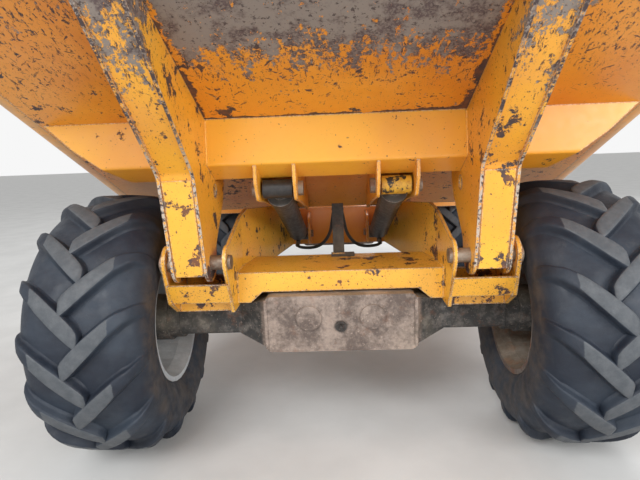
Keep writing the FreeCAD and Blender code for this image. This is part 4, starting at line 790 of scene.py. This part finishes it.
def wheel_nuts(name, body, sign, y):
    """Ten nuts on the rim, eight smaller bolts round the hub, and a hexagon on the hub's cap."""
    nuts = Stock()
    # columns: count, first angle, distance outward, circle's radius, size, washer
    for count, first, out, radius, size, washer in ((10, 0.0, 0.032, 0.185, 0.0155, True),
                                                    (8, math.pi / 8, 0.0508, 0.123, 0.0085, False)):
        for a in spread(count, first):
            place = (sign * (HALF_TRACK + out), y + radius * math.sin(a), AXLE_Z + radius * math.cos(a))
            nuts.bolt(place, X * sign, size, washer)
    cap = (sign * (HALF_TRACK + 0.152), y, AXLE_Z)
    nuts.turned(cap, X * sign, [(-0.002, 0.022), (0.006, 0.022), (0.008, 0.018)], 6)
    nuts.made(name, PIN, "pin_steel", body, smooth=False)


shared_tyre = tyre_mesh()
for end, y in (("front", FRONT_Y), ("rear", REAR_Y)):
    for side, sign in SIDES:
        corner = "_%s_%s" % (end, side)
        tyre = linked("tread" + corner, shared_tyre)
        tyre.location = (sign * HALF_TRACK, y, AXLE_Z)
        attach(tyre, "wheel" + corner)
        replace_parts(tyre, "tyre" + corner)
        wheel_nuts("wheel_nuts" + corner, "wheel" + corner, sign, y)


# Covers on the lower ribs, and welds of the front half

RIB_IN, RIB_OUT, RIB_PLATE = 0.525, 0.67, 0.012
RIB_FACE, RIB_BEND_Z, RIB_LEAN = -0.405, 1.258, 0.176
TIP_Z = 0.898


def rib_front(z, inset):
    """Y of a lower rib's front face at height z, moved in by inset."""
    return front(RIB_FACE + (RIB_BEND_Z - z) * RIB_LEAN + inset * math.hypot(1, RIB_LEAN))


def rib_covers(gap=0.003, thick=0.0065):
    """A thin plate between the side plates of each lower rib."""
    stock = Stock()
    low, high = TIP_Z - 0.043, RIB_BEND_Z - 0.014
    for s in (1, -1):
        xs = sorted((s * (RIB_IN + RIB_PLATE + gap), s * (RIB_OUT - RIB_PLATE - gap)))
        corners = [(x, rib_front(z, inset), z)
                   for x in xs for z in (low, high) for inset in (gap, gap + thick)]
        stock.add(corners, BLOCK_FACES)
    stock.made("rib_covers", RIB_COVER, "skip_paint", "skip", smooth=False, bevel=0.002)


def front_welds():
    """Beads where the frame's plates meet, and beside the ribs below the skip."""
    frame_beads, skip_beads = Stock(), Stock()
    ear, cross_top, cross_rear, cross_front, base = 0.455, 0.815, 0.24, -0.115, 0.663
    over = cross_top + 0.011
    for s in (-1, 1):
        x, plate, rib = s * ear, s * 0.297, s * (RIB_IN - 0.001)
        corner = (x, front(cross_front), cross_top)
        frame_beads.bead(corner, (x, front(cross_rear), cross_top), 0.005, 3)
        frame_beads.bead((x, front(cross_front), base + 0.016), corner, 0.005, 4)
        frame_beads.bead((plate, front(0.93), 0.75), (plate, front(0.93), 0.97), 0.005, 5)
        skip_beads.bead((rib, front(-0.2), 1.472), (rib, front(-0.222), 1.296), 0.006, 6)
    for x in (-0.028, 0.028):
        frame_beads.bead((x, front(0.2), over), (x, front(0.212), over), 0.004, 8)
    frame_beads.bead((-0.028, front(0.199), over), (0.028, front(0.199), over), 0.004, 9)
    frame_beads.made("frame_welds", FRAME_PAINT, "yellow_paint", "front_chassis")
    skip_beads.made("skip_welds", SKIP_BEAM, "skip_paint", "skip")


rib_covers()
front_welds()


# Driver's place

DASH = Vector((0, 0.5425, 1.3655))
DASH_UP = Vector((0, 0.474, 0.881))
DASH_BACK = Vector((0, 0.881, -0.474))
DECK_Z = 0.892
PLATFORM_Z = 1.24
WHEEL_MIDDLE = Vector((0, 0.6575, 1.5))
WHEEL_LEAN = math.radians(35)
WHEEL_UP = Vector((0, math.sin(WHEEL_LEAN), math.cos(WHEEL_LEAN)))


def steering_wheel(rim_r=0.185, grip_r=0.0145, steps=96):
    """Padded rim with three flat spokes, a hub with its cap, and the column."""
    stock = Stock()
    flat = WHEEL_UP.cross(X)

    def outward(angle):
        a = math.radians(angle)
        return X * math.cos(a) + flat * math.sin(a)

    def at(angle, radius, lift):
        return WHEEL_MIDDLE + outward(angle) * radius + WHEEL_UP * lift

    rings = []
    for k in range(steps + 1):
        a = 360 * k / steps
        grip = grip_r + 0.0006 * math.cos(math.radians(a * 24))
        rings.append([at(a, rim_r, 0.0) + (outward(a) * math.cos(t) + WHEEL_UP * math.sin(t)) * grip
                      for t in spread(12)])
    stock.rings(rings)
    for a in (90, 210, 330):
        stock.bar(at(a, 0.022, -0.02), at(a, 0.12, -0.014), outward(a + 90), 0.017, 0.006)
        stock.bar(at(a, 0.118, -0.0145), at(a, 0.18, -0.002), outward(a + 90), 0.013, 0.006)
    hub = [(-0.044, 0.028), (-0.04, 0.034), (-0.008, 0.034), (0.002, 0.031), (0.006, 0.024), (0.0075, 0.01)]
    stock.turned(WHEEL_MIDDLE, WHEEL_UP, hub, 32)
    stock.turned(WHEEL_MIDDLE, WHEEL_UP, [(-0.26, 0.0195), (-0.042, 0.0195)], 24)
    wheel = stock.made("steering_wheel_rim", PLASTIC, "black_plastic")
    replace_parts(wheel, "steering_wheel")


def gauge(black, faces, marks, c, r, needle):
    """A gauge of bezel radius r at c, with nine ticks and its needle at an angle in degrees."""
    bezel = [(-0.003, r), (0.006, r), (0.009, r - 0.002), (0.009, r - 0.004), (0.005, r - 0.006)]
    black.turned(c, DASH_UP, bezel, 36)
    faces.turned(c, DASH_UP, [(0.0048, r - 0.006), (0.0058, r - 0.006), (0.0062, r - 0.0075)], 36)
    # columns: angle, lift, start, end, half width, thickness
    lines = [(-30 + 30 * k, 0.0066, r - 0.013, r - 0.009, 0.0006, 0.0005) for k in range(9)]
    lines.append((needle, 0.0072, 0.0, r - 0.012, 0.0011, 0.0006))
    for angle, lift, start, end, half_width, thick in lines:
        a = math.radians(angle)
        way = Vector((-math.cos(a), 0, 0)) - DASH_BACK * math.sin(a)
        foot = c + DASH_UP * lift
        marks.bar(foot + way * start, foot + way * end, way.cross(DASH_UP), half_width, thick)
    marks.turned(c, DASH_UP, [(0.006, 0.0035), (0.0085, 0.003)], 16)


def dash():
    """Gauges, switches and key on the console's sloping top, and the column's gaiter."""
    black, faces, marks = Stock(), Stock(), Stock()
    # columns: distance from the middle, distance down the slope, bezel's radius, needle's angle
    for x, down, r, needle in ((-0.105, -0.012, 0.036, 50), (0.105, -0.012, 0.036, 120),
                               (-0.105, 0.052, 0.017, 80), (0.105, 0.052, 0.017, 70)):
        gauge(black, faces, marks, DASH + X * x + DASH_BACK * down, r, needle)
    for x in (-0.06, -0.038, 0.038, 0.06):
        c = DASH + X * x + DASH_BACK * 0.054
        lift = DASH_UP * 0.002
        black.bar(c - DASH_BACK * 0.013 + lift, c + DASH_BACK * 0.013 + lift, X, 0.009, 0.006)
        rocker = c - DASH_BACK * 0.009 + DASH_UP * 0.007
        black.bar(rocker, c + DASH_BACK * 0.002 + DASH_UP * 0.0045, X, 0.0065, 0.005)
    key = DASH - X * 0.152 + DASH_BACK * 0.03
    black.turned(key, DASH_UP, [(-0.002, 0.013), (0.005, 0.013), (0.007, 0.011)], 24)
    marks.bar(key + DASH_UP * 0.006, key + DASH_UP * 0.03, (0.4, 0.8, 0), 0.007, 0.0022)
    gaiter = [(-0.168, 0.034), (-0.15, 0.044), (-0.14, 0.033), (-0.132, 0.04), (-0.122, 0.03),
              (-0.115, 0.035), (-0.104, 0.0215)]
    black.turned(WHEEL_MIDDLE, WHEEL_UP, gaiter, 28)
    black.made("dash_bezels", PLASTIC, "black_plastic")
    faces.made("gauge_faces", GLASS, "black_plastic", smooth=False)
    marks.made("gauge_marks", SEAM, "black_plastic", smooth=False)


def levers_and_pedals():
    """Small controls without a joint."""
    rods, black = Stock(), Stock()
    gaiter = [(-0.004, 0.04), (0.006, 0.04), (0.016, 0.03), (0.022, 0.034), (0.032, 0.024), (0.038, 0.028),
              (0.05, 0.017), (0.056, 0.02), (0.07, 0.009)]
    # columns: foot's x and y, top, knob's radius
    for x, y, top, r in ((-0.41, 1.02, (-0.425, 0.975, 1.505), 0.022),
                         (-0.345, 1.03, (-0.345, 1.0, 1.47), 0.018),
                         (0.4, 1.02, (0.415, 0.96, 1.48), 0.02),
                         (0.48, 1.09, (0.48, 1.0, 1.4), 0.014)):
        foot, top = Vector((x, y, PLATFORM_Z)), Vector(top)
        rods.tube([foot, foot.lerp(top, 0.5), top], 0.007, 12)
        black.ball(top, r)
        black.turned(foot, top - foot, gaiter, 24)
        black.turned(foot, UP, [(-0.001, 0.052), (0.005, 0.052), (0.007, 0.048)], 6)
    slope, out_of_pad = Vector((0, 0.45, -0.89)), Vector((0, 0.89, 0.45))
    # columns: pad's middle x and half width
    for x, w in ((-0.3, 0.034), (0.29, 0.042), (0.4, 0.042)):
        head = Vector((x, 0.56, 1.045))
        rods.bar((x, 0.52, DECK_Z), head, X, 0.009, 0.01)
        rods.block((x - 0.022, 0.5, DECK_Z - 0.001), (x + 0.022, 0.54, DECK_Z + 0.01))
        pad = head + Vector((0, 0.008, 0.01))
        black.bar(pad - slope * 0.04, pad + slope * 0.04, X, w, 0.01)
        for k in range(6):
            c = pad + slope * (-0.033 + 0.0132 * k) + out_of_pad * 0.0055
            black.bar(c - X * (w * 0.9), c + X * (w * 0.9), slope, 0.0028, 0.004)
    rods.made("lever_rods", PIN, "pin_steel", bevel=0.0006)
    black.made("knobs_and_pads", PLASTIC, "black_plastic")


def leaning(place, lean):
    return Matrix.Translation(place) @ Matrix.Rotation(math.radians(lean), 4, "X")


def evaluated(piece):
    return piece.evaluated_get(bpy.context.evaluated_depsgraph_get())


def even_block(name, size, voxel=0.006):
    """A rounded block with faces of one size all over."""
    mesh = bpy.data.meshes.new(name)
    work = bmesh.new()
    bmesh.ops.create_cube(work, size=1.0)
    bmesh.ops.scale(work, vec=size, verts=work.verts)
    radius = min(size) * 0.36
    bmesh.ops.bevel(work, geom=work.edges[:], offset=radius, segments=4, profile=0.5, affect="EDGES")
    work.to_mesh(mesh)
    work.free()
    start = linked(name, mesh)
    voxels = start.modifiers.new("voxels", "REMESH")
    voxels.mode = "VOXEL"
    voxels.voxel_size = voxel
    even = bpy.data.meshes.new_from_object(evaluated(start))
    start.modifiers.clear()
    start.data = even
    return start


def blown_up(start, pressure=4, frames=20):
    """Places of the vertices after cloth pressure."""
    cloth = start.modifiers.new("cloth", "CLOTH")
    cloth.settings.use_pressure = True
    cloth.settings.uniform_pressure_force = pressure
    cloth.settings.effector_weights.gravity = 0
    cloth.settings.tension_stiffness = 40
    cloth.settings.bending_stiffness = 2
    for frame_number in range(1, frames + 1):
        bpy.context.scene.frame_set(frame_number)
    grown = evaluated(start)
    places = [v.co.copy() for v in grown.to_mesh().vertices]
    grown.to_mesh_clear()
    bpy.context.scene.frame_set(1)
    start.modifiers.clear()
    return places


def swollen(name, size, place, lean, channels, cap=0.009, crown=0.012, groove=0.007):
    """A cushion blown up by cloth pressure from a smaller rounded block.

    channels: lines across its top, each the axis along which it runs and its place
    cap: how far a vertex moves at most
    """
    start = even_block(name + "_start", size)
    even = start.data
    before = [v.co.copy() for v in even.vertices]
    after = blown_up(start)
    for vertex, old, new in zip(even.vertices, before, after):
        move = new - old
        if move.length > cap:
            move = move.normalized() * cap
        spot = old + move
        rise = max(0.0, 1 - (2 * spot.x / size[0]) ** 2) * max(0.0, 1 - (2 * spot.y / size[1]) ** 2)
        if spot.z > 0:
            spot.z += crown * rise
            for along, line in channels:
                off = (spot.x if along == "y" else spot.y) - line
                spot.z -= groove * math.exp(-((off / groove) ** 2)) * min(1.0, spot.z / (size[2] * 0.35))
        vertex.co = spot
    bpy.data.objects.remove(start)
    even.materials.clear()
    even.materials.append(VINYL)
    even.shade_smooth()
    piece = linked(name, even)
    piece.matrix_world = leaning(place, lean)
    finer = piece.modifiers.new("finer", "SUBSURF")
    finer.levels = 1
    finer.render_levels = 1
    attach(piece, "rear_chassis")
    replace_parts(piece, "seat")


def squarish(turn, angle, half_x, half_y, z, power):
    """Point at an angle on a ring between a circle and a rectangle, moved by turn."""
    c, d = math.cos(angle), math.sin(angle)
    reach = (abs(c) ** power + abs(d) ** power) ** (-1 / power)
    return turn @ Vector((c * reach * half_x, d * reach * half_y, z))


def piping(stock, size, place, lean, z, swell=0.006, steps=96):
    """A sewn cord round a cushion at height z above its middle."""
    turn = leaning(place, lean)
    half_x, half_y = size[0] / 2 + swell, size[1] / 2 + swell
    stock.tube([squarish(turn, TURN * k / steps, half_x, half_y, z, 5) for k in range(steps + 1)], 0.0035, 8)


def seat():
    """Cushion and backrest with piping, on a black pan and shell."""
    cushion_size, cushion_at, cushion_lean = (0.44, 0.335, 0.092), Vector((0, rear(-0.342), 1.347)), 4
    back_size, back_at, back_lean = (0.43, 0.34, 0.066), Vector((0, rear(-0.148), 1.612)), 80
    upright = [("y", -0.11), ("y", 0.11)]
    swollen("seat_cushion", cushion_size, cushion_at, cushion_lean, upright + [("x", 0.0)])
    swollen("seat_backrest", back_size, back_at, back_lean, upright)
    cord = Stock()
    piping(cord, cushion_size, cushion_at, cushion_lean, 0.03)
    piping(cord, back_size, back_at, back_lean, 0.016)
    seam = cord.made("seat_piping", SEAM, "seat_vinyl")
    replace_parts(seam, "seat")
    pan = Stock()
    pan.block((-0.2, rear(-0.49), 1.281), (0.2, rear(-0.17), 1.3))
    for x in (-0.13, 0.13):
        pan.block((x - 0.02, rear(-0.185), 1.29), (x + 0.02, rear(-0.15), 1.48))
    for x in (-0.13, 0.13):
        pan.bar((x, rear(-0.168), 1.296), (x, rear(-0.118), 1.5), X, 0.02, 0.008)
    pan.made("seat_frame", CHASSIS, "dark_steel", smooth=False, bevel=0.003)
    shell = Stock()
    turn = leaning(back_at, back_lean)
    half_x, half_y = back_size[0] / 2, back_size[1] / 2
    # columns: height above the backrest's middle, and how far the shell stands out there
    outline = ((-0.044, -0.03), (-0.048, -0.004), (-0.03, 0.008), (-0.012, 0.01), (-0.01, 0.004))
    shell.rings([[squarish(turn, a, half_x + grow, half_y + grow, z, 6) for a in spread(48)]
                 for z, grow in outline])
    shell.made("seat_shell", PLASTIC, "black_plastic")


def lozenge(x, y, z, long, short):
    return [(x + long, y, z), (x, y + short, z), (x - long, y, z), (x, y - short, z)]


def chequer_plate():
    """Raised lozenges on the driver's floor, and studs on the steps."""
    stock = Stock()
    y0, y1, half, pitch = 0.425, 0.93, 0.545, 0.03
    for i in range(int((y1 - y0) / pitch) + 1):
        for k in range(int(2 * half / pitch) + 1):
            x, y = -half + pitch * k, y0 + pitch * i
            under_console = abs(x) < 0.21 and y < 0.665
            at_rail_foot = abs(abs(x) - 0.53) < 0.045 and (abs(y - 0.4325) < 0.04 or abs(y - 0.7375) < 0.04)
            if under_console or at_rail_foot:
                continue
            long, short = (0.011, 0.0032) if (i + k) % 2 else (0.0032, 0.011)
            stock.rings([lozenge(x, y, DECK_Z, long, short),
                         lozenge(x, y, DECK_Z + 0.0018, long * 0.6, short * 0.6)])
    stud = [(-0.001, 0.01), (0.003, 0.0085), (0.0045, 0.006), (0.003, 0.004)]
    for s in (1, -1):
        for z in (0.438, 0.648):
            for i in range(9):
                for k in range(3):
                    stock.turned((s * (0.59 + 0.05 * k), 0.47 + 0.026 * i, z), UP, stud, 10)
    stock.made("floor_pattern", CHASSIS, "dark_steel", smooth=False)


steering_wheel()
dash()
levers_and_pedals()
seat()
chequer_plate()


# Rear body

def filler_cap(black, x=0.55, y=0.56, z=0.795, cap_r=0.045):
    """Cap with twelve grips on the left tank."""
    cap = [(-0.002, 0.036), (0.012, 0.036), (0.012, cap_r), (0.026, cap_r), (0.03, 0.041), (0.031, 0.02)]
    black.turned((x, y, z), X, cap, 36)
    for a in spread(12):
        grip = (x + 0.014, y + cap_r * math.sin(a), z + cap_r * math.cos(a))
        black.turned(grip, X, [(0.0, 0.004), (0.012, 0.004)], 8)


def exhaust_fittings(black, bolts, x=-0.56, y=rear(0.11), clamp_z=1.655):
    """Rings of the silencer, the clamp above it with its bolt, and the rain flap."""
    for z in (1.262, 1.598):
        black.turned((x, y, z), UP, [(-0.01, 0.0625), (-0.008, 0.066), (0.008, 0.066), (0.01, 0.0625)], 40)
    black.turned((x, y, clamp_z), UP, [(-0.01, 0.0262), (-0.01, 0.03), (0.01, 0.03), (0.01, 0.0262)], 32)
    bolts.bolt((x, y + 0.032, clamp_z), Y, 0.005)
    flap = Vector((x, y - 0.004, 1.984))
    black.turned(flap, (0, -0.3, 0.95), [(0.0, 0.031), (0.003, 0.031), (0.004, 0.028)], 32)
    black.bar(flap + Vector((0, 0.03, 0.004)), flap + Vector((0, 0.058, 0.002)), X, 0.008, 0.01)


def rear_fittings():
    """Guards' rolled edges, handrail feet, fasteners, filler cap and the exhaust's fittings."""
    painted, bolts, black = Stock(), Stock(), Stock()
    edge = [(-0.64, 0.852), (-0.618, 1.0), (-0.592, 1.14), (-0.57, 1.18), (-0.53, 1.208), (-0.47, 1.23),
            (-0.4, 1.234), (0.0, 1.234), (0.36, 1.234), (0.41, 1.228), (0.616, 1.078)]
    fastener = [(-0.001, 0.014), (0.003, 0.014), (0.005, 0.01)]
    for s in (-1, 1):
        painted.tube([(s * 1.238, rear(y) + 0.003, z - 0.002) for y, z in edge], 0.0065, 10)
        for y in (0.4325, 0.7375):
            x = s * 0.53
            black.turned((x, y, DECK_Z), UP, [(-0.001, 0.034), (0.006, 0.034), (0.008, 0.031)], 28)
            for a in spread(3, 0.5):
                place = (x + 0.025 * math.cos(a), y + 0.025 * math.sin(a), DECK_Z + 0.006)
                bolts.bolt(place, UP, 0.005)
        # quarter-turn fasteners of the engine's side panels
        for y in (0.06, 0.64):
            for z in (0.93, 1.19):
                bolts.turned((s * 0.425, rear(y), z), X * s, fastener, 20)
        # counterweight
        for x, z in ((0.25, 0.9), (0.56, 0.62)):
            bolts.bolt((s * x, rear(0.85), z), Y, 0.018)
        # seat platform and console
        for z in (0.96, 1.18):
            for x in (0.25, 0.62):
                bolts.bolt((s * x, rear(-0.43), z), -Y, 0.008)
        for z in (0.93, 1.12, 1.29):
            bolts.bolt((s * 0.19, 0.5, z), X * s, 0.006)
    filler_cap(black)
    exhaust_fittings(black, bolts)
    painted.made("guard_beads", BODY_PAINT, "yellow_paint")
    bolts.made("body_bolts", PIN, "pin_steel", smooth=False)
    black.made("body_fittings", CHASSIS, "dark_steel")


def bonnet_fittings():
    """Handle on the slope and rubber latches at the sides."""
    stock = Stock()
    foot, low, half = rear(0.6), 1.438, 0.12
    high = low + 0.045
    rail = [(half, foot, low), (half, foot + 0.02, high), (half - 0.012, foot + 0.024, high + 0.008)]
    stock.tube([(-x, y, z) for x, y, z in rail] + rail[::-1], 0.0075, 12)
    flange = [(-0.004, 0.017), (0.004, 0.017), (0.006, 0.014)]
    for s in (-1, 1):
        stock.turned((s * half, foot, low), (0, 0.35, 0.94), flange, 20)
        for y in (rear(0.15), rear(0.56)):
            x = s * 0.4255
            pull = x + s * 0.004
            stock.bar((x, y, 1.252), (x, y, 1.312), Y, 0.015, 0.007)
            stock.bar((pull, y - 0.024, 1.262), (pull, y + 0.024, 1.262), UP, 0.006, 0.008)
            stock.turned((x, y, 1.303), X * s, [(0.0, 0.008), (0.0065, 0.008), (0.008, 0.005)], 6)
    stock.made("bonnet_fittings", PLASTIC, "black_plastic", "bonnet")


# Engine below the bonnet

ENGINE_TOP = 1.2195
PORTS = [0.285 + k * 0.07 for k in range(4)]


def on_engine(x, y, z):
    """Place above the engine block: x from the middle, y behind the rear axle, z above the block."""
    return (x, rear(y), ENGINE_TOP + z)


def rounded(x, y0, y1, z, radius):
    """Level ring with rounded corners, x to each side of the middle."""
    ring = []
    for k in range(16):
        turn = math.pi / 2 * (k // 4) + math.pi / 6 * (k % 4)
        middle_x = x - radius if k // 4 in (0, 3) else radius - x
        middle_y = y1 - radius if k // 4 in (0, 1) else y0 + radius
        ring.append((middle_x + radius * math.cos(turn), middle_y + radius * math.sin(turn), z))
    return ring


def casting(stock, x, y0, y1, levels, radius):
    """A low box with rounded corners; levels are (height above the block, inset)."""
    stock.rings([rounded(x - inset, rear(y0) + inset, rear(y1) - inset, ENGINE_TOP + z, radius)
                 for z, inset in levels])


def engine_castings():
    """Valve cover with its filler cap, bolts and fins, and the radiator's upper tank with its cap."""
    iron = Stock()
    cover = ((0, 0), (0.01, 0), (0.011, 0.008), (0.052, 0.013), (0.062, 0.022))
    casting(iron, 0.088, 0.245, 0.535, cover, 0.02)
    filler = [(0.0, 0.027), (0.01, 0.027), (0.011, 0.022), (0.024, 0.022), (0.027, 0.018)]
    iron.turned(on_engine(0, 0.3, 0.06), UP, filler, 12)
    for s in (-1, 1):
        for k in range(5):
            iron.bolt(on_engine(s * 0.084, 0.262 + k * 0.064, 0.01), UP, 0.0055)
    for k in range(3):
        y = 0.37 + k * 0.055
        casting(iron, 0.055, y - 0.006, y + 0.006, ((0.058, 0), (0.067, 0)), 0.005)
    casting(iron, 0.205, 0.606, 0.676, ((0, 0), (0.058, 0), (0.078, 0.01), (0.084, 0.022)), 0.018)
    cap = [(0.0, 0.02), (0.008, 0.02), (0.009, 0.026), (0.019, 0.026), (0.022, 0.02)]
    iron.turned(on_engine(0.12, 0.641, 0.082), UP, cap, 16)
    iron.made("engine_castings", ENGINE, "engine_iron", bevel=0.0012)


def exhaust_manifold():
    """Pipe beside the valve cover with four branches and their bolts."""
    rusty = Stock()
    rusty.tube([on_engine(-0.16, 0.255, 0.034), on_engine(-0.16, 0.52, 0.034)], 0.026, 16)
    for y in PORTS:
        branch = ((-0.08, 0.026), (-0.12, 0.03), (-0.15, 0.034))
        rusty.tube([on_engine(x, y, z) for x, z in branch], 0.017, 12)
        rusty.bolt(on_engine(-0.16, y, 0.058), UP, 0.006, washer=False)
    rusty.made("exhaust_manifold", PIN, "pin_steel")


def engine_pipes():
    """Air filter and its pipe, the coolant pipe, and an injector with its line at each port."""
    black = Stock()
    air_filter = [(0.0, 0.05), (0.004, 0.058), (0.04, 0.06), (0.042, 0.064), (0.05, 0.064),
                  (0.052, 0.06), (0.215, 0.06), (0.222, 0.052)]
    black.turned(on_engine(0.166, 0.25, 0.062), Y, air_filter, 32)
    intake = [(0.166, 0.468, 0.062), (0.166, 0.505, 0.062), (0.16, 0.535, 0.062), (0.14, 0.555, 0.052),
              (0.11, 0.56, 0.042), (0.08, 0.55, 0.036), (0.055, 0.53, 0.034)]
    coolant = [(-0.1, 0.612, 0.05), (-0.098, 0.59, 0.05), (-0.088, 0.568, 0.044), (-0.07, 0.548, 0.036),
               (-0.05, 0.53, 0.034)]
    black.tube([on_engine(*place) for place in intake], 0.023, 14)
    black.tube([on_engine(*place) for place in coolant], 0.019, 14)
    # columns: x, distance behind the port, z
    line = ((0.069, 0.0, 0.078), (0.074, 0.006, 0.088), (0.086, 0.01, 0.084), (0.094, 0.012, 0.06),
            (0.098, 0.014, 0.004))
    injector = [(0.0, 0.01), (0.018, 0.01), (0.02, 0.007), (0.03, 0.007)]
    for y in PORTS:
        black.turned(on_engine(0.066, y, 0.05), (0.12, 0, 1), injector, 10)
        black.tube([on_engine(x, y + back, z) for x, back, z in line], 0.003, 8)
    black.made("engine_pipes", PLASTIC, "black_plastic")


def rear_lenses(low=0.808, high=0.872):
    """Red and amber lens of each rear lamp."""
    red, amber = Stock(), Stock()
    for s in (-1, 1):
        for x0, x1, into in ((0.43, 0.496, red), (0.504, 0.57, amber)):
            rows = []
            for out, inset in ((-0.001, 0.0), (0.005, 0.0005), (0.008, 0.004), (0.0095, 0.014)):
                a, b, y = s * (x0 + inset), s * (x1 - inset), rear(0.895) + out
                corners = ((a, low + inset), (b, low + inset), (b, high - inset), (a, high - inset))
                rows.append([(x, y, z) for x, z in corners])
            into.rings(rows)
    red.made("red_lenses", RED, "lamp_red", smooth=False, bevel=0.0015)
    amber.made("amber_lenses", AMBER, "lamp_amber", smooth=False, bevel=0.0015)


def beacon(x=-0.305, y=rear(-0.075), rib=0.0012, smooth_above=3.12):
    """Ribbed dome on its base."""
    dome, base = Stock(), Stock()
    rings = []
    for z, r in ((3.046, 0.0535), (3.052, 0.0545), (3.1, 0.053), (3.118, 0.048), (3.13, 0.037),
                 (3.137, 0.02), (3.139, 0.006)):
        ring = []
        for a in spread(144):
            reach = r + (rib if z < smooth_above else 0.0) * math.cos(a * 36)
            ring.append((x + math.cos(a) * reach, y + math.sin(a) * reach, z))
        rings.append(ring)
    dome.rings(rings)
    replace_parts(dome.made("beacon_dome", AMBER, "lamp_amber"), "beacon")
    profile = [(0.0, 0.024), (0.004, 0.024), (0.006, 0.0135), (0.036, 0.0135), (0.042, 0.052),
               (0.046, 0.0585), (0.064, 0.0595), (0.068, 0.056)]
    base.turned((x, y, 2.979), UP, profile, 40)
    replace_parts(base.made("beacon_base", PLASTIC, "black_plastic"), "beacon")


rear_fittings()
bonnet_fittings()
engine_castings()
exhaust_manifold()
engine_pipes()
beacon()
rear_lenses()


# Fittings of the front half

def front_fittings():
    """Flanges and plug of the axle's casing, and hose ferrules."""
    cast, iron = Stock(), Stock()
    for x0, x1 in ((-0.336, -0.322), (0.322, 0.336)):
        cast.block((x0, front(-0.17), 0.478), (x1, front(-0.16), 0.7))
    cast.turned((0, front(-0.184), 0.576), -Y, [(-0.001, 0.0105), (0.008, 0.0105), (0.01, 0.0085)], 6)
    ferrule = [(0.0, 0.0125), (0.014, 0.0125), (0.015, 0.0108), (0.034, 0.0108)]
    for s in (-1, 1):
        for end, shift, sides in ((0, 0.0, 6), (-1, -0.034, 16)):
            x, y, z = HOSE_ROUTE[end]
            iron.turned((s * x, y + shift, z), Y, ferrule, sides)
    cast.made("casing_fittings", CAST, "engine_iron", "front_chassis", smooth=False, bevel=0.0015)
    iron.made("hose_ferrules", PIN, "pin_steel", "front_chassis", smooth=False)


front_fittings()


# Floor, light and background

def floor_material():
    m = Sheet("floor")
    color = m.mix(m.spots(0.3, 0.7, 2.5, 5), (0.6, 0.6, 0.59), (0.66, 0.66, 0.65))
    return m.finish(color, 0.75, m.relief(m.noise(60, 5), 0.08, 0.001))


def level_floor(half=60):
    mesh = bpy.data.meshes.new("floor")
    corners = [(-half, -half, 0), (half, -half, 0), (half, half, 0), (-half, half, 0)]
    mesh.from_pydata(corners, [], [(0, 1, 2, 3)])
    mesh.materials.append(floor_material())
    linked("floor", mesh)


def studio():
    """White light from all round; the camera, reflections and glass see a pale grey backdrop."""
    world = bpy.data.worlds.new("studio")
    bpy.context.scene.world = world
    world.use_nodes = True
    tree = world.node_tree
    tree.nodes.clear()
    choose = tree.nodes.new("ShaderNodeMixShader")
    for socket, grey, strength in ((1, 1.0, 0.62), (2, 0.93, 1.0)):
        background = tree.nodes.new("ShaderNodeBackground")
        background.inputs["Color"].default_value = (grey, grey, grey, 1)
        background.inputs["Strength"].default_value = strength
        tree.links.new(background.outputs[0], choose.inputs[socket])
    path = tree.nodes.new("ShaderNodeLightPath")
    seen = path.outputs["Is Camera Ray"]
    for kind in ("Is Glossy Ray", "Is Transmission Ray"):
        larger = tree.nodes.new("ShaderNodeMath")
        larger.operation = "MAXIMUM"
        tree.links.new(seen, larger.inputs[0])
        tree.links.new(path.outputs[kind], larger.inputs[1])
        seen = larger.outputs[0]
    tree.links.new(seen, choose.inputs[0])
    tree.links.new(choose.outputs[0], tree.nodes.new("ShaderNodeOutputWorld").inputs[0])


def soft_lamp(name, place, target, size, power):
    data = bpy.data.lights.new(name, "AREA")
    data.shape = "RECTANGLE"
    data.size, data.size_y = size
    data.energy = power
    lamp = linked(name, data)
    lamp.location = place
    lamp.rotation_euler = (Vector(target) - Vector(place)).to_track_quat("-Z", "Y").to_euler()


level_floor()
studio()
# name, place, target, size and power of each lamp
soft_lamp("key", (-3.4, -8.0, 6.2), (0, -1.2, 0.9), (5.0, 3.5), 580)
soft_lamp("fill", (5.2, -6.4, 3.2), (0.0, -1.0, 1.1), (4.0, 2.5), 300)
soft_lamp("low_fill", (0.0, -6.6, 0.5), (0, -1.6, 1.3), (5.0, 0.8), 40)
soft_lamp("back", (2.5, 8.5, 5.0), (0, 1.0, 1.0), (5.0, 3.0), 420)

bpy.context.scene.view_settings.view_transform = "Standard"

bpy.context.view_layer.update()
